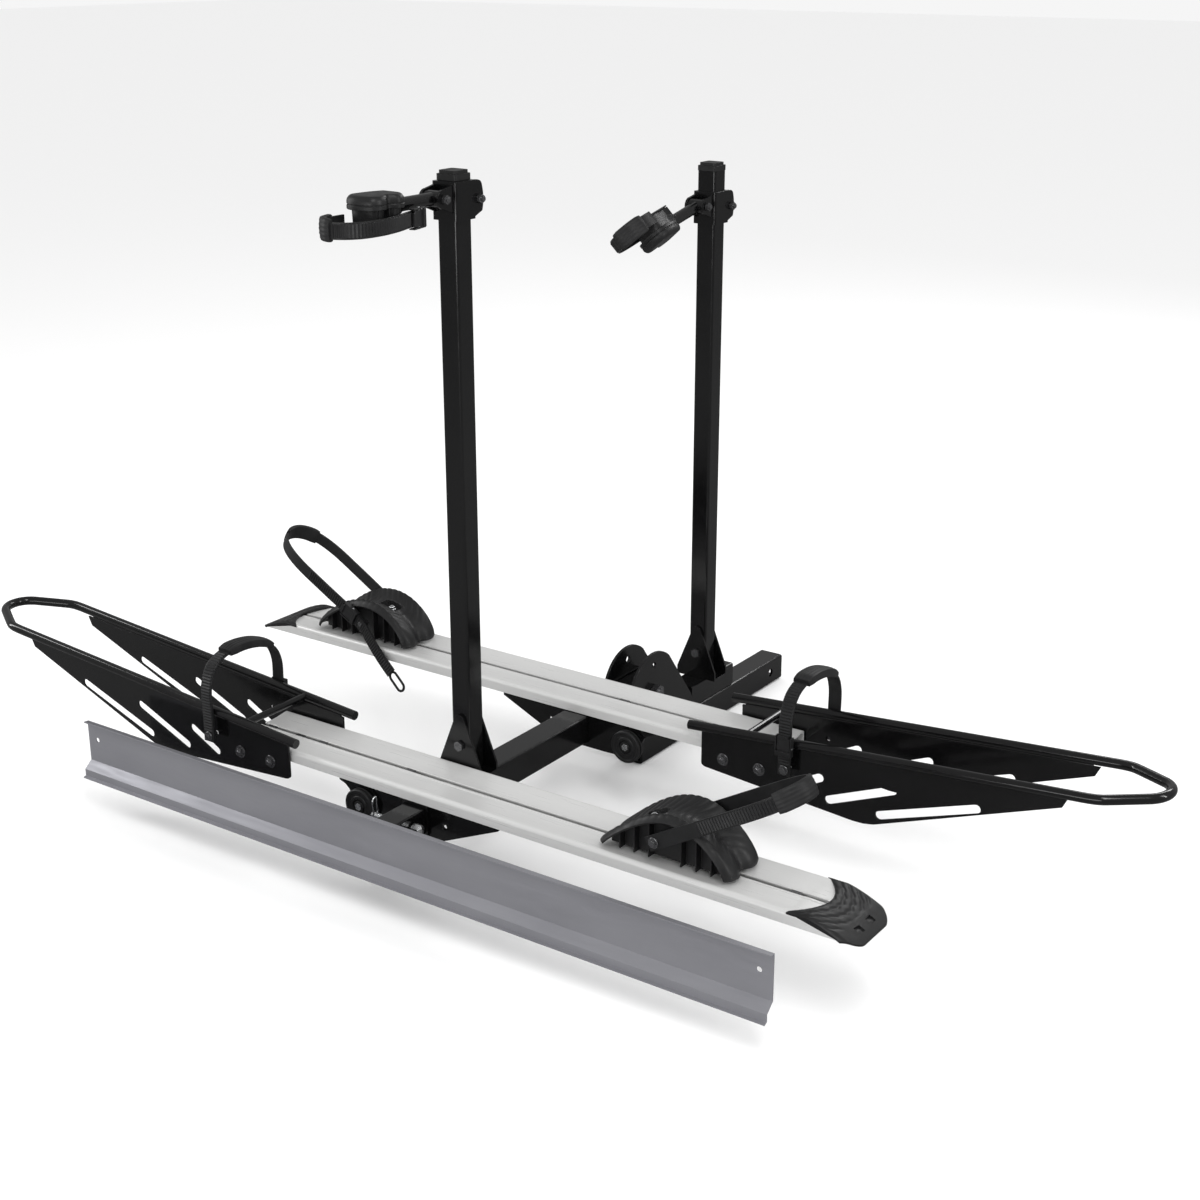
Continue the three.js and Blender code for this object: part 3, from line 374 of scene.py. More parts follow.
def sweep(bm, points, across, section, grow=None):
    """A section swept on a path. grow(t) scales its two axes at a share of the path."""
    rings = []
    for i, (p, side, out) in enumerate(frames(points, across)):
        wide, high = grow(i / (len(points) - 1)) if grow else (1, 1)
        rings.append([p + side * a * wide + out * b * high for a, b in section])
    loft(bm, rings)


def closed_sweep(bm, points, axis, section):
    """A section swept round a flat closed loop, whose plane has the given axis."""
    rings = []
    for i, p in enumerate(points):
        ahead = (points[(i + 1) % len(points)] - points[i - 1]).normalized()
        out = ahead.cross(axis)
        rings.append([p + axis * a + out * b for a, b in section])
    loft_round(bm, rings)


def block(bm, corner_low, corner_high, place):
    """A box given by two corners in its own axes, set by a matrix."""
    size = Vector(corner_high) - Vector(corner_low)
    middle = (Vector(corner_high) + Vector(corner_low)) / 2
    matrix = place @ Matrix.Translation(middle) @ Matrix.Diagonal((*size, 1))
    bmesh.ops.create_cube(bm, size=1, matrix=matrix)


def axes_at(point, x_axis, y_axis):
    """A matrix at a point, with X along one direction and Y as near as it can be to another."""
    x = x_axis.normalized()
    y = (y_axis - x * y_axis.dot(x)).normalized()
    z = x.cross(y)
    matrix = Matrix((x, y, z)).transposed().to_4x4()
    matrix.translation = point
    return matrix


def disc(bm, point, axis, r, depth, segments=28, bevel=0.0):
    """A round boss along an axis, with an optional chamfer on its outer end."""
    across = axis.orthogonal().normalized()
    up = axis.cross(across)

    def ring(radius, shift):
        return [point + axis * shift + (across * math.cos(a) + up * math.sin(a)) * radius
                for a in (2 * math.pi * i / segments for i in range(segments))]

    rings = [ring(r, 0), ring(r, depth - bevel)]
    if bevel:
        rings.append(ring(r - bevel, depth))
    loft(bm, rings)


# ---- Straps ----
def toothed_band(bm, points, across, outward, teeth):
    """A flat strap with square teeth on its outer side between two shares of its length."""
    count = max(int(path_length(points) / (TOOTH_PITCH / 2)), 8)
    half, flat = STRAP_WIDTH / 2, STRAP_THICK / 2
    rim = half - 2.2 * MM
    rings = []
    for i, (p, side, out) in enumerate(frames(spaced(points, count), across)):
        raised = teeth[0] < i / (count - 1) < teeth[1] and i % 2 == 0
        top = flat + (TOOTH if raised else 0)
        profile = ((-half, -flat), (-half, flat), (-rim, flat), (-rim, top),
                   (rim, top), (rim, flat), (half, flat), (half, -flat))
        rings.append([p + side * a + out * (outward * b) for a, b in profile])
    loft(bm, rings)


def pad(bm, points, across, outward, thick):
    """A thick rubber sleeve on a strap, softly rounded, with fine lengthwise grooves."""
    steps, grooves = 24, 5
    half = PAD_WIDTH / 2
    outline = []
    for i in range(steps + 1):
        a = -half + PAD_WIDTH * i / steps
        groove = 0.5 * MM * (0.5 + 0.5 * math.cos(2 * math.pi * grooves * i / steps))
        crown = 1.6 * MM * (1 - (2 * a / PAD_WIDTH) ** 2)
        outline.append((a, outward * (thick * 0.45 + crown - groove)))
    back = -outward * thick * 0.4
    outline += [(half + 1.2 * MM, 0), (half, back), (-half, back), (-half - 1.2 * MM, 0)]

    def taper(t):
        swell = min(1, min(t, 1 - t) / 0.12)
        return 0.94 + 0.06 * swell, 0.72 + 0.28 * swell

    sweep(bm, spaced(points, 26), across, outline, taper)


def buckle(bm, place):
    """A ratchet buckle: two cheeks, a lever with a raised lip and a guide, all on the strap's outer side."""
    half = STRAP_WIDTH / 2
    for side in (-1, 1):
        middle = side * (half + 2.2 * MM)
        block(bm, (-17 * MM, middle - 1.1 * MM, -STRAP_THICK / 2),
              (17 * MM, middle + 1.1 * MM, 8 * MM), place)
    block(bm, (-15 * MM, -half, 4.5 * MM), (10 * MM, half, 7 * MM), place)
    block(bm, (9 * MM, -half - 2 * MM, 6 * MM), (16 * MM, half + 2 * MM, 9.5 * MM), place)
    block(bm, (-19 * MM, -half * 0.8, 5 * MM), (-14 * MM, half * 0.8, 9 * MM), place)


def buckle_pin(bm, place):
    """The cross pin through the buckle's two cheeks."""
    half = STRAP_WIDTH / 2 + 4.2 * MM
    y = (place.to_3x3() @ Y_AXIS).normalized()
    start = place @ Vector((3 * MM, -half, 3.2 * MM))
    disc(bm, start, y, 2.2 * MM, 2 * half, 14)


def strap_set(name, body, points, across, outward, teeth, pad_share, pad_thick, buckle_share):
    """The toothed band, its rubber pad and its buckle, riding on one body in place of a CAD strap."""
    bm = bmesh.new()
    toothed_band(bm, points, across, outward, teeth)
    piece(f"{name}_band", bm, "strap_plastic", body, smooth=False, replaces=(name,))
    bm = bmesh.new()
    pad(bm, part_of(points, *pad_share), across, outward, pad_thick)
    piece(f"{name}_pad", bm, "strap_plastic", body, MATERIALS["pad_rubber"])
    i = int((len(points) - 1) * buckle_share)
    ahead = points[i + 1] - points[i - 1]
    side = across - ahead * across.dot(ahead) / ahead.length_squared
    place = axes_at(points[i], ahead * outward, side)
    bm = bmesh.new()
    buckle(bm, place)
    bevel_edges(piece(f"{name}_buckle", bm, "strap_plastic", body), 0.7 * MM)
    bm = bmesh.new()
    buckle_pin(bm, place)
    piece(f"{name}_buckle_pin", bm, "zinc_pin", body)


def strap_pins(node, reach, length):
    """The pin and its washer that each end of a strap swings on."""
    pivot = joint_place(f"{node}_swing")
    for edge, sign in EDGES.items():
        out = Y_AXIS * sign
        point = pivot + out * (reach + 2 * MM)
        bm = bmesh.new()
        disc(bm, point, out, 8.5 * MM, 2.2 * MM, 28, 0.6 * MM)
        disc(bm, point + out * 2.2 * MM, out, 5.6 * MM, 3.2 * MM, 6, 0.6 * MM)
        disc(bm, point - out * length, out, 4 * MM, length, 20)
        piece(f"{node}_pin_{edge}", bm, "dark_fastener", node, smooth=False)


def hoop_strap(label):
    """An arch across the hoop's two rails, a little lower on its far side."""
    node = f"{label}_hoop_strap"
    low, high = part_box(node)
    middle = centre(node)
    foot = low.z + 4 * MM
    leg = (high.y - low.y) / 2 - 5 * MM
    rise = high.z - low.z
    knots = ((-1.0, 0.0), (-1.0, 0.34), (-0.99, 0.64), (-0.78, 0.87), (-0.3, 0.965),
             (0.3, 0.945), (0.78, 0.83), (0.985, 0.63), (1.0, 0.34), (1.0, 0.0))
    points = smooth_path([Vector((middle.x, middle.y + v * leg, foot + share * rise))
                          for v, share in knots], 140)
    strap_set(node, node, points, X_AXIS, -1, (0.04, 0.40), (0.42, 0.67), 16 * MM,
              0.9 if label == "front" else 0.13)
    strap_pins(node, leg, 17 * MM)


def strap_tail(node, pivot, along, up, arm):
    """The free end of the strap: toothed, hanging past the tray, with a long finger loop at its tip."""
    knots = ((16, -3.4, 0), (-8, -5.5, -1), (-30, -11, -4), (-70, -18, -12), (-112, -20, -22))
    points = smooth_path([pivot + along * (w * MM) + Vector((0, -arm + v * MM, 0)) + up * (h * MM)
                          for w, v, h in knots], 60)
    bm = bmesh.new()
    toothed_band(bm, points, up, 1, (0.0, 0.99))
    piece(f"{node}_tail", bm, "strap_plastic", node, smooth=False)

    ahead = (points[-1] - points[-2]).normalized()
    side = (up - ahead * up.dot(ahead)).normalized()
    middle = points[-1] + ahead * 19 * MM
    steps = 48
    loop = []
    for i in range(steps):
        angle = math.tau * i / steps
        straight = 11 * MM if math.cos(angle) > 0 else -11 * MM
        loop.append(middle + ahead * (straight + 9 * MM * math.cos(angle))
                    + side * 9.4 * MM * math.sin(angle))
    bm = bmesh.new()
    closed_sweep(bm, loop, ahead.cross(side), rounded_section(3.2 * MM, 4.6 * MM, 1.2 * MM))
    piece(f"{node}_tail_loop", bm, "strap_plastic", node)


def cradle_strap(label, side):
    """A long loop that leans out over the cradle; the rear one's tail hangs loose past its buckle."""
    node = f"{label}_cradle_strap"
    pivot = joint_place(f"{node}_swing")
    lean = math.radians(30)
    along = Vector((side * math.cos(lean), 0, math.sin(lean)))
    up = Vector((-side * math.sin(lean), 0, math.cos(lean)))
    arm = 50 * MM
    knots = ((-12, -1.0), (40, -1.0), (110, -1.02), (180, -1.0), (226, -0.78), (250, -0.3), (250, 0.3),
             (226, 0.78), (180, 1.0), (110, 1.02), (40, 1.0), (-12, 1.0))
    points = smooth_path([pivot + along * (w * MM) + Vector((0, v * arm, 0)) for w, v in knots], 150)
    loose = label == "rear"
    teeth = (0.02, 0.27) if loose else (0.17, 0.41)
    pad_share = (0.47, 0.60) if loose else (0.405, 0.54)
    strap_set(node, node, points, up, side, teeth, pad_share, 8 * MM, 0.075 if loose else 0.95)
    strap_pins(node, arm, 14 * MM)
    if loose:
        strap_tail(node, pivot, along, up, arm)


# ---- Clamp heads ----
def head_matrix(label):
    """Places the head's own axes, with the arm along -Y, at the arm's pivot."""
    tilt, roll = (0, 0) if label == "front" else (math.radians(12), math.radians(140))
    return (Matrix.Translation(joint_place(f"{label}_clamp_turn"))
            @ Matrix.Rotation(tilt, 4, "X") @ Matrix.Rotation(roll, 4, "Y"))


def head_outline(inset):
    """The clamp shell's outline in plan: narrow at the arm, two lobes on one side, rounded at the tip."""
    knots = [Vector(knot) for knot in (
        (-14, -91), (13, -91), (25, -95), (33.5, -105), (34.5, -117), (27, -126), (26.5, -132), (31, -140),
        (31, -152), (24, -163), (8, -168), (-8, -168), (-22, -162), (-29, -148), (-27, -122), (-20, -100))]
    middle = Vector((0, -130))
    steps = 5
    outline = []
    for i in range(len(knots) - 1):
        span = [knots[k % len(knots)] for k in range(i - 1, i + 3)]
        outline += [catmull_rom(*span, k / steps) for k in range(steps)]
    return [p + (middle - p).normalized() * inset for p in outline]


def clamp_head(label):
    """A domed shell over a flat ribbed jaw, the arm's socket, and the strap that holds a frame tube."""
    place = head_matrix(label)
    turn = place.to_3x3()
    body = f"{label}_clamp"

    def shell(bm, levels):
        loft(bm, [[place @ Vector((p.x * MM, p.y * MM, z * MM)) for p in head_outline(inset)]
                  for inset, z in levels])

    bm = bmesh.new()
    shell(bm, ((1.2, 2), (0, 3), (0, 7.6), (1.0, 8.4), (1.0, 9.2), (0.2, 10), (0.2, 14), (1.2, 17),
               (3.2, 19.6), (5.0, 20.9), (6.0, 21.3), (9, 21.5), (14, 21.6)))
    piece(f"{label}_clamp_shell", bm, "moulded_plastic", body, replaces=(f"{label}_clamp_head",))

    bm = bmesh.new()
    shell(bm, ((9, -26), (8, -25), (7, 3)))
    for y in (-150, -128, -106):
        block(bm, (20 * MM, (y - 0.9) * MM, -24 * MM), (27 * MM, (y + 0.9) * MM, 2.5 * MM), place)
    block(bm, (-24 * MM, -158 * MM, -26 * MM), (26 * MM, -100 * MM, -23.5 * MM), place)
    bevel_edges(piece(f"{label}_clamp_jaw", bm, "moulded_plastic", body), 0.5 * MM)

    bm = bmesh.new()
    socket_start = place @ Vector((0, -92 * MM, 0))
    disc(bm, socket_start, (turn @ -Y_AXIS).normalized(), 16 * MM, 27 * MM, 32, 1.5 * MM)
    piece(f"{label}_clamp_socket", bm, "moulded_plastic", body)

    knots = ((16, -50), (24, -84), (36, -125), (41, -165), (34, -203), (8, -224), (-20, -212),
             (-31, -186), (-32, -158))
    strap_z = -18 * MM
    points = smooth_path([place @ Vector((x * MM, y * MM, strap_z)) for x, y in knots], 120)
    across = (turn @ Z_AXIS).normalized()
    strap_set(f"{label}_head_strap", body, points, across, -1, (0.10, 0.69), (0.70, 0.90), 11 * MM, 0.06)


# ---- Wheel cradles ----
CRADLE_HALF = 47.5 * MM


def cradle(label, side):
    """An arched, ribbed trough: thin skin over a hollow body, with lobed ends and a bolt recess."""
    node = f"{label}_cradle"
    low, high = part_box(node)
    x_mid = (low.x + high.x) / 2
    y_mid = (low.y + high.y) / 2
    base = low.z
    length = high.x - low.x
    peak = 1.2 if side > 0 else 0.82
    bolt = centre(f"{label}_cradle_bolt")
    bolt_share = 0.5 + side * (bolt.x - x_mid) / length
    columns, rows = 150, 60
    skin, recess_depth = 3.4 * MM, 7 * MM
    web_half, rib_half, web_gap, rib_gap = 1.1 * MM, 1 * MM, 3.2 * MM, 3.6 * MM

    def hump(t):
        return max(math.sin(math.pi * t ** peak), 0) ** 0.72

    def lobes(v):
        return 1 - 0.085 * math.exp(-(v / 0.26) ** 2) - 0.10 * abs(v) ** 6

    def top(t, v):
        trough = 0.82 + 0.18 * min(1, (abs(v) / 0.8) ** 2.0)
        crown = 1 - 0.15 * (max(0, abs(v) - 0.78) / 0.22) ** 2
        wave = 0.5 + 0.5 * math.cos(2 * math.pi * 17 * (t + 0.05 * math.cos(math.pi * v)))
        fade = min(1, 7 * t, 7 * (1 - t)) * max(0, min(1, 6 * (0.98 - abs(v))))
        rise = (high.z - base + 3 * MM) * hump(t) * trough * crown
        return base + 5 * MM * (1 - hump(t)) + rise - 1.1 * MM * wave ** 2 * fade

    def recess(t, v):
        along = (t - bolt_share) * length / (20 * MM)
        across = v * CRADLE_HALF / (12.5 * MM)
        distance = (along ** 4 + across ** 4) ** 0.25
        if distance < 1:
            return recess_depth
        return -0.8 * MM if distance < 1.22 else 0.0

    def at(t, v, drop=0.0, narrow=1.0):
        x = x_mid + side * (t - 0.5) * length * lobes(v)
        z = max(top(t, v) - recess(t, v) - drop, base)
        return Vector((x, y_mid + v * CRADLE_HALF * narrow, z))

    bm = bmesh.new()
    outer, inner = ([[bm.verts.new(at(i / columns, 2 * j / rows - 1, drop, narrow))
                      for j in range(rows + 1)] for i in range(columns + 1)]
                    for drop, narrow in ((0, 1), (skin, 0.93)))
    for i in range(columns):
        for j in range(rows):
            bm.faces.new((outer[i][j], outer[i + 1][j], outer[i + 1][j + 1], outer[i][j + 1]))
            bm.faces.new((inner[i][j], inner[i][j + 1], inner[i + 1][j + 1], inner[i + 1][j]))
        for j in (0, rows):
            bm.faces.new((outer[i][j], inner[i][j], inner[i + 1][j], outer[i + 1][j]))
    for i in (0, columns):
        for j in range(rows):
            bm.faces.new((outer[i][j], outer[i][j + 1], inner[i][j + 1], inner[i][j]))
    piece(f"{label}_cradle_shell", bm, "moulded_plastic", node, replaces=(node,))

    def web(v, start=0.06, end=0.94, steps=40):
        """A thin upright web along the cradle that reaches up to the skin's underside."""
        rings = []
        for i in range(steps + 1):
            head = at(start + (end - start) * i / steps, v, web_gap)
            top_z = max(head.z, base + 0.5 * MM)
            rings.append([Vector((head.x, head.y + sign * web_half, z))
                          for sign, z in ((-1, base), (1, base), (1, top_z), (-1, top_z))])
        loft(bm, rings)

    bm = bmesh.new()
    for v in (-0.5, 0.5):
        web(v)
    for share in (0.16, 0.27, 0.38, 0.62, 0.73, 0.84):
        for sign in (-1, 1):
            near, far = at(share, sign * 0.5), at(share, sign * 0.8)
            lift = max(min(top(share, 0.5), top(share, 0.8)) - rib_gap, base + 1 * MM)
            block(bm, (-rib_half, min(near.y, far.y), base), (rib_half, max(near.y, far.y), lift),
                  Matrix.Translation(X_AXIS * near.x))
    piece(f"{label}_cradle_ribs", bm, "moulded_plastic", node, smooth=False)

    floor = top(bolt_share, 0) - recess_depth
    washer, nut, tip = (-1, 8.5, 2.2, 28, 0.5), (1, 6.2, 4.2, 6, 0.7), (5, 3.4, 2.2, 16, 0.5)
    bm = bmesh.new()
    for lift, r, depth, segments, chamfer in (washer, nut, tip):
        foot = Vector((bolt.x, y_mid, floor + lift * MM))
        disc(bm, foot, Z_AXIS, r * MM, depth * MM, segments, chamfer * MM)
    piece(f"{label}_cradle_nut", bm, "zinc_pin", node, smooth=False)


# ---- Hoops ----
def rail_height(u):
    """The rail's height over the deck, in millimetres, at a place along the tray."""
    return RAIL_Z + RAIL_SLOPE * (RAIL_START - u)


def hoop(label, side):
    """The bent rail with its narrower nose, and the cross bar between its legs."""
    y_mid = centre(f"{label}_tray").y

    def at(u, v):
        return Vector((side * u * MM, y_mid + v * MM, DECK.z + rail_height(u) * MM))

    def bend(sign):
        return [at(u, sign * v) for u, v in ((-900, RAIL_V), (-924, 70.8), (-940, 68.5), (-954, 62))]

    nose_r, nose_u, steps = 40, -981, 16
    angles = [math.radians(60) * (2 * i / steps - 1) for i in range(steps + 1)]
    nose = [at(nose_u - nose_r * math.cos(angle), nose_r * math.sin(angle)) for angle in angles]
    bent = smooth_path(bend(-1) + nose + bend(1)[::-1], 90)
    rail = [at(RAIL_START, -RAIL_V)] + bent + [at(RAIL_START, RAIL_V)]
    bm = bmesh.new()
    sweep(bm, rail, Z_AXIS, circle(RAIL_R, 24))
    piece(f"{label}_hoop_rail", bm, "black_powder_coat", "rack", replaces=(f"{label}_hoop",))

    bar_u, bar_half = -352, 70
    start = Vector((side * bar_u * MM, y_mid - bar_half * MM, DECK.z + (rail_height(bar_u) + 1) * MM))
    bm = bmesh.new()
    disc(bm, start, Y_AXIS, 6 * MM, 2 * bar_half * MM, 24)
    piece(f"{label}_hoop_cross_bar", bm, "black_powder_coat", "rack")


def hoop_seams(label, side):
    """The weld line between each rail and its plate."""
    y_mid = centre(f"{label}_tray").y
    bm = bmesh.new()
    for edge, sign in EDGES.items():
        ends = [corner.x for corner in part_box(f"{label}_hoop_plate_{edge}")]
        inner, outer = sorted(abs(end) for end in ends)

        def under(u):
            z = rail_height(-u / MM) - 7.6
            return Vector((-side * u, y_mid + sign * 66.4 * MM, DECK.z + z * MM))

        path = spaced([under(inner + 6 * MM), under(outer - 12 * MM)], 220)
        sweep(bm, path, Z_AXIS, circle(2.5 * MM, 10), lambda t: (0.93 + 0.07 * math.cos(700 * t),) * 2)
    piece(f"{label}_hoop_seams", bm, "black_powder_coat", "rack")


def hoop_bolt_heads(label):
    """A washer, a chamfered hex and the bolt's rounded tip on each outer face of the hoop plates."""
    for number in (1, 2):
        node = f"{label}_hoop_bolt_{number}"
        middle = centre(node)
        bm = bmesh.new()
        for edge, sign in EDGES.items():
            low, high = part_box(f"{label}_hoop_plate_{edge}")
            face = Vector((middle.x, low.y if sign < 0 else high.y, middle.z))
            out = Y_AXIS * sign
            disc(bm, face, out, 11 * MM, 1.8 * MM, 32, 0.5 * MM)
            disc(bm, face + out * 1.5 * MM, out, 8 * MM, 5 * MM, 6, 1.2 * MM)
            disc(bm, face + out * 6 * MM, out, 4 * MM, 1.8 * MM, 20, 1.2 * MM)
        piece(f"{node}_head", bm, "dark_fastener", "rack", smooth=False)


# ---- Trays and end caps ----
def tray_marks(label, side):
    """The dark ends of the slide nuts that show in the tray's slot."""
    low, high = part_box(f"{label}_tray")
    y = (low.y + high.y) / 2
    z = high.z - 4.6 * MM
    bm = bmesh.new()
    for u in (-365, -300, -250, -60, 645):
        block(bm, (-9 * MM, -5.4 * MM, -1.2 * MM), (9 * MM, 5.4 * MM, 0.6 * MM),
              Matrix.Translation(Vector((side * u * MM, y, z))))
    bevel_edges(piece(f"{label}_tray_slide_nuts", bm, "dark_fastener", "rack"), 0.4 * MM)


def tray_tongue(label, side):
    """The tray's upper skin running on under the cap's hollow edge, in two halves beside the slot."""
    tray_low, tray_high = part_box(f"{label}_tray")
    y_mid = (tray_low.y + tray_high.y) / 2
    start = end_x(f"{label}_tray_end_cap", -side) - side * 2 * MM
    finish = start + side * 36 * MM
    crown = ((10, -4), (15, -3.9), (20.5, -3.7), (25.7, -3.4), (31, -3), (36.5, -2.45), (42.3, -1.75),
             (48, -0.9))
    section = ((4.2, -3.1), (8.5, -3), *crown, (54, 0), (57.5, -0.9), (60, -3.4), (60.9, -6.5),
               (58.5, -6.5), (54, -3), (30, -6), (10, -7), (4.2, -7))
    steps = 8
    bm = bmesh.new()
    for sign in (-1, 1):
        rings = []
        for i in range(steps + 1):
            t = i / steps
            x = start + (finish - start) * t
            lift = 0.3 * min(1, 4 * t) - 1.2 * t * t
            rings.append([Vector((x, y_mid + sign * v * MM, tray_high.z + (z + lift) * MM))
                          for v, z in section])
        loft(bm, rings)
    piece(f"{label}_tray_tongue", bm, "tray_aluminium", "rack")


def slot_lips(label, side):
    """The folded edges that narrow the tray's slot."""
    tray_low, tray_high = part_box(f"{label}_tray")
    y_mid = (tray_low.y + tray_high.y) / 2
    ends = (end_x(f"{label}_tray", -side), end_x(f"{label}_tray_end_cap", -side) + side * 30 * MM)
    z = tray_high.z - 4.1 * MM
    section = ((4.3, 0.5), (4.9, 1.0), (8.2, 0.7), (8.2, -1.0), (4.3, -1.6))
    bm = bmesh.new()
    for sign in (-1, 1):
        loft(bm, [[Vector((x, y_mid + sign * v * MM, z + h * MM)) for v, h in section] for x in ends])
    piece(f"{label}_tray_slot_lips", bm, "tray_aluminium", "rack")


def end_cap(label, side):
    """A sloping wedge with nested contour grooves and two square pockets, concave on the tray's side."""
    node = f"{label}_tray_end_cap"
    low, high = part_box(node)
    y_mid = (low.y + high.y) / 2
    half = (high.y - low.y) / 2
    inner = end_x(node, -side)
    reach = abs(end_x(node, side) - inner)
    columns, rows = 88, 88
    tip_height, groove_depth, skin, pocket_roof = 9 * MM, 1.3 * MM, 3 * MM, 0.8 * MM

    def hollow(v):
        return 0.34 * (1 - v * v)

    def surface(share, v):
        fall = max(0, (share - 0.3) / 0.7)
        slope = high.z - (high.z - low.z - tip_height) * (0.35 * fall + 0.65 * fall ** 1.7)
        level = 7.5 * (share - hollow(v) + 0.010 * math.cos(8 * math.pi * v))
        fade = max(0, min(1, 12 * (0.74 - share), 16 * (0.96 - abs(v))))
        groove = groove_depth * (0.5 + 0.5 * math.cos(math.tau * level)) ** 2 * fade
        return slope - groove - 3.5 * MM * (max(0, abs(v) - 0.86) / 0.14) ** 2

    def at(i, j, under):
        v = 2 * j / rows - 1
        end = 1 - 0.22 * (max(0, abs(v) - 0.5) / 0.5) ** 2.0
        share = hollow(v) + (end - hollow(v)) * (i / columns)
        z = surface(share, v)
        if under:
            mitre = DECK.z + (20.4 - 25.9 * share) * MM
            z = max(min(z - skin, mitre), low.z)
        return Vector((inner + side * share * reach, y_mid + v * half, z))

    def holed(i, j):
        """Whether a place on the grid is in one of the two pockets."""
        share, v = i / columns, abs(2 * j / rows - 1)
        return 0.70 < share < 0.84 and 0.17 < v < 0.38

    bm = bmesh.new()
    corners = [(i, j) for i in range(columns + 1) for j in range(rows + 1)]
    cells = [(i, j) for i in range(columns) for j in range(rows)]
    upper = {corner: bm.verts.new(at(*corner, False)) for corner in corners}
    lower = {corner: bm.verts.new(at(*corner, True)) for corner in corners}
    pocket = {}
    for i, j in cells:
        if holed(i + 0.5, j + 0.5):
            for corner in ((i, j), (i + 1, j), (i + 1, j + 1), (i, j + 1)):
                if corner not in pocket:
                    pocket[corner] = bm.verts.new(lower[corner].co + Z_AXIS * pocket_roof)
    for i, j in cells:
        a, b, c, d = (i, j), (i + 1, j), (i + 1, j + 1), (i, j + 1)
        bm.faces.new([lower[corner] for corner in (d, c, b, a)])
        if holed(i + 0.5, j + 0.5):
            bm.faces.new([pocket[corner] for corner in (a, b, c, d)])
            continue
        bm.faces.new([upper[corner] for corner in (a, b, c, d)])
        sides = (((i, j - 1), a, b), ((i, j + 1), c, d), ((i - 1, j), d, a), ((i + 1, j), b, c))
        for (m, n), p, q in sides:
            if not (0 <= m < columns and 0 <= n < rows):
                bm.faces.new((upper[p], lower[p], lower[q], upper[q]))
            elif holed(m + 0.5, n + 0.5):
                bm.faces.new((upper[p], pocket[p], pocket[q], upper[q]))
    piece(node + "_moulding", bm, "moulded_plastic", "rack", replaces=(node,))


# ---- Rollers and pin clip ----
def roller(label):
    """Two rims with a groove between, a raised centre ring and a hex nut in its recess."""
    node = f"{label}_roller"
    low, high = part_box(node)
    middle = (low + high) / 2
    r = (high.z - low.z) / 2
    width = high.y - low.y
    drawn_r = 29
    profile = ((5.6, 0), (9, 0), (10, 3), (12, 3), (13, 0.4), (17, 0.2), (18, 1.6), (23, 1.6), (24.5, 0.2),
               (27.6, 0.2), (29, 1.5), (29, 4.4), (26, 5.2), (26, 7.8), (29, 8.6), (29, 11.5), (27.6, 12.8),
               (5.6, 12.8))
    segments = 64
    rings = []
    for i in range(segments):
        angle = math.tau * i / segments
        ring = []
        for a, b in profile:
            reach = a * MM * r / (drawn_r * MM)
            ring.append((middle.x + reach * math.cos(angle), low.y + min(b * MM, width),
                         middle.z + reach * math.sin(angle)))
        rings.append(ring)
    bm = bmesh.new()
    loft_round(bm, rings)
    bevel_edges(piece(f"{label}_roller_wheel", bm, "moulded_plastic", node, replaces=(node,)), 0.4 * MM, 50)

    bolt_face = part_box(f"{label}_roller_bolt")[0].y + 0.2 * MM
    bm = bmesh.new()
    disc(bm, Vector((middle.x, bolt_face, middle.z)), -Y_AXIS, 6.6 * MM, 2.2 * MM, 6, 0.5 * MM)
    piece(f"{label}_roller_nut", bm, "zinc_pin", "rack", smooth=False)


def pin_clip():
    """A round spring wire with a straight leg, a loop and a bowed leg."""
    node = "tail_pin_clip"
    low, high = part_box(node)
    x = (low.x + high.x) / 2
    far = high.y - 1.5 * MM
    shape = ((0, -17), (0, -4), (0, 8), (-0.8, 22), (-1.5, 32), (-6, 36), (-10.6, 31), (-10.4, 22), (-9, 13),
             (-10.4, 2), (-10.2, -5), (-8, -11), (-9.5, -15.5), (-11, -18))
    z = DECK.z - 25.4 * MM
    points = smooth_path([Vector((x, far + dy * MM, z + dz * MM)) for dy, dz in shape], 90)
    bm = bmesh.new()
    sweep(bm, points, X_AXIS, circle(1.4 * MM, 14))
    piece("tail_pin_clip_wire", bm, "zinc_pin", node, replaces=(node,))


# ---- Edges of the CAD nodes ----
def soften_frame():
    """Small rounded edges on the plates, tubes and trays that are shown as they are."""
    for part in frame["record"]["subparts"]:
        node = frame["nodes"][part["node"]]
        if not node.hide_render:
            bevel_edges(node, 0.5 * MM, 40, harden=False)


# ---- Stage ----
def dim_in_reflections(tree, socket, plain, mirrored):
    """Gives a stage surface one value for the eye and soft light, and a lower one where gloss mirrors it."""
    rays = tree.nodes.new("ShaderNodeLightPath")
    value = tree.nodes.new("ShaderNodeMapRange")
    value.inputs["To Min"].default_value = plain
    value.inputs["To Max"].default_value = mirrored
    tree.links.new(rays.outputs["Is Glossy Ray"], value.inputs["Value"])
    tree.links.new(value.outputs["Result"], socket)


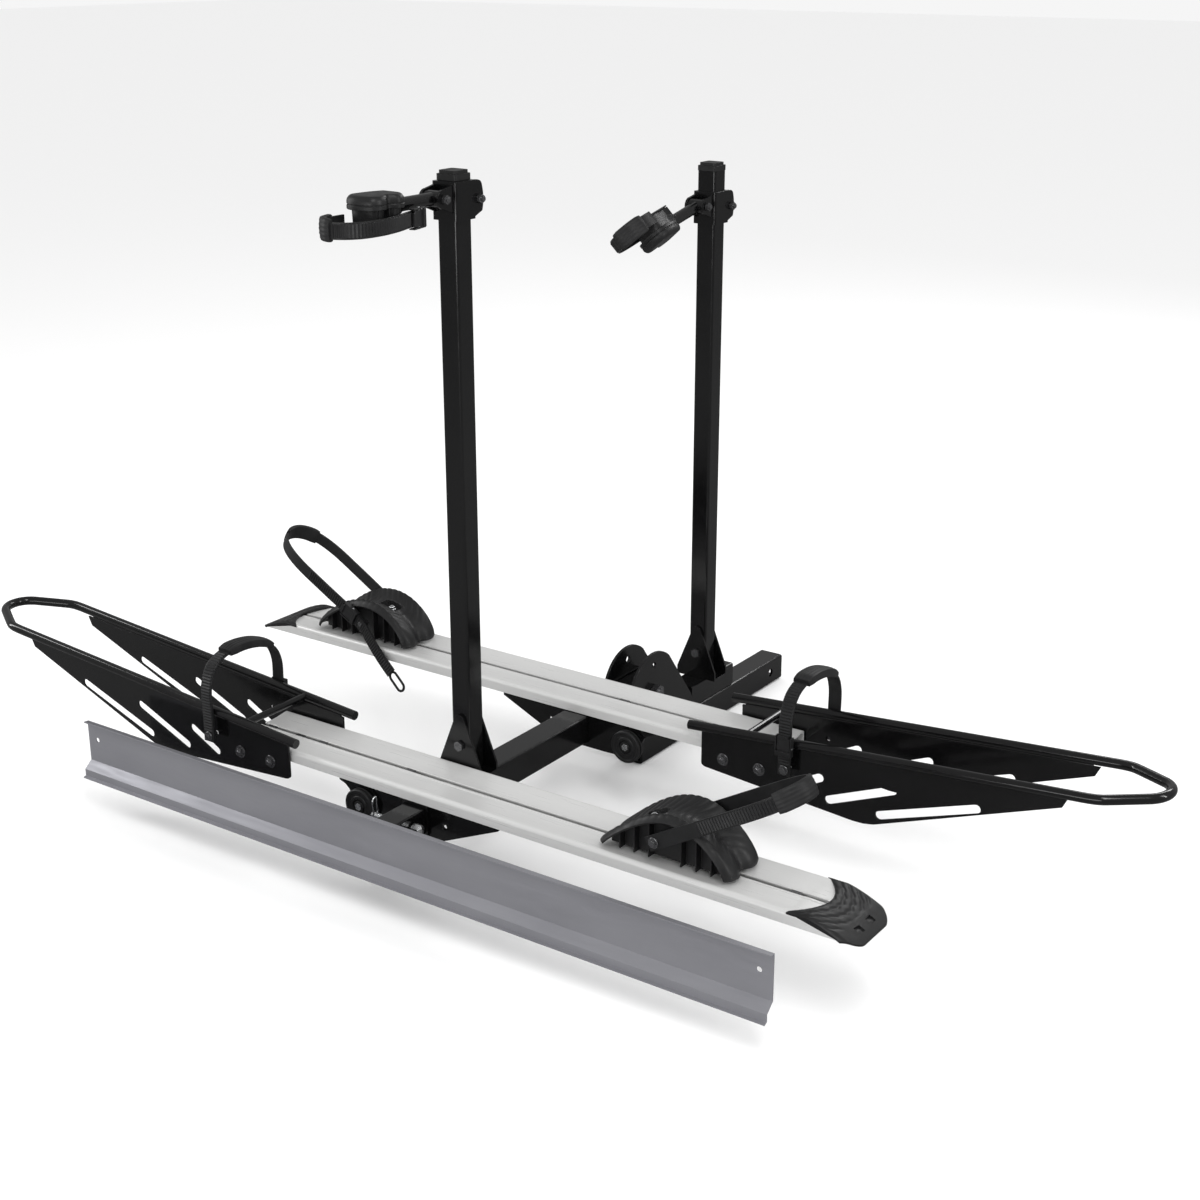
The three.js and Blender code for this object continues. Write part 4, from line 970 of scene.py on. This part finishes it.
def stage():
    """A pale floor just under the rack, a soft studio world and five area lamps aimed at its middle."""
    bpy.ops.mesh.primitive_plane_add(size=60, location=(0, 0, CAD_BOX[0].z - 2 * MM))
    floor = bpy.context.object
    floor.name = "floor"
    material, tree, shader = new_material("floor", (0.97, 0.97, 0.97), 0.9)
    shader.inputs["Specular IOR Level"].default_value = 0.1
    dim_in_reflections(tree, shader.inputs["Base Color"], 0.97, 0.2)
    floor.data.materials.append(material)

    world = bpy.data.worlds.new("studio")
    bpy.context.scene.world = world
    world.use_nodes = True
    tree = world.node_tree
    background = tree.nodes["Background"]
    background.inputs["Color"].default_value = (1, 1, 1, 1)
    dim_in_reflections(tree, background.inputs["Strength"], 0.92, 0.36)

    middle = Vector((0, -0.6, 0.3))
    lamps = (
        ("key", Vector((1.9, -2.4, 3.4)), 0.7, 2.0, 36),
        ("left", Vector((-3.2, -2.0, 1.6)), 0.4, 2.2, 30),
        ("right", Vector((3.4, -0.2, 1.8)), 0.3, 2.2, 26),
        ("back", Vector((0.2, 3.2, 2.8)), 2.4, 0.5, 34),
        ("fill", Vector((0.6, -4.6, 0.7)), 3.0, 0.8, 34),
    )
    for name, place, width, height, power in lamps:
        data = bpy.data.lights.new(name, "AREA")
        data.shape = "RECTANGLE"
        data.size = width
        data.size_y = height
        data.energy = power
        lamp = bpy.data.objects.new(name, data)
        bpy.context.scene.collection.objects.link(lamp)
        lamp.location = place
        lamp.rotation_euler = (middle - place).to_track_quat("-Z", "Y").to_euler()


def camera():
    """Looks along azimuth 34.85 and elevation 19.8 degrees, as the reference view does."""
    azimuth, elevation = math.radians(34.851), math.radians(19.794)
    data = bpy.data.cameras.new("camera")
    data.sensor_width = 36
    data.lens = 55.714
    data.clip_end = 100
    cam = bpy.data.objects.new("camera", data)
    bpy.context.scene.collection.objects.link(cam)
    cam.location = (1.738, -3.0647, 1.3889)
    back = Vector((math.sin(azimuth) * math.cos(elevation), -math.cos(azimuth) * math.cos(elevation),
                   math.sin(elevation)))
    cam.rotation_mode = "QUATERNION"
    cam.rotation_quaternion = (-back).to_track_quat("-Z", "Y")
    bpy.context.scene.camera = cam
    bpy.context.scene.view_settings.view_transform = "Standard"


# ---- Build ----
paint_frame()
for label, side in UNITS.items():
    hoop(label, side)
    hoop_strap(label)
    cradle(label, side)
    cradle_strap(label, side)
    end_cap(label, side)
    roller(label)
    tray_marks(label, side)
    tray_tongue(label, side)
    slot_lips(label, side)
    hoop_seams(label, side)
    hoop_bolt_heads(label)
    clamp_head(label)
pin_clip()
soften_frame()
stage()
camera()
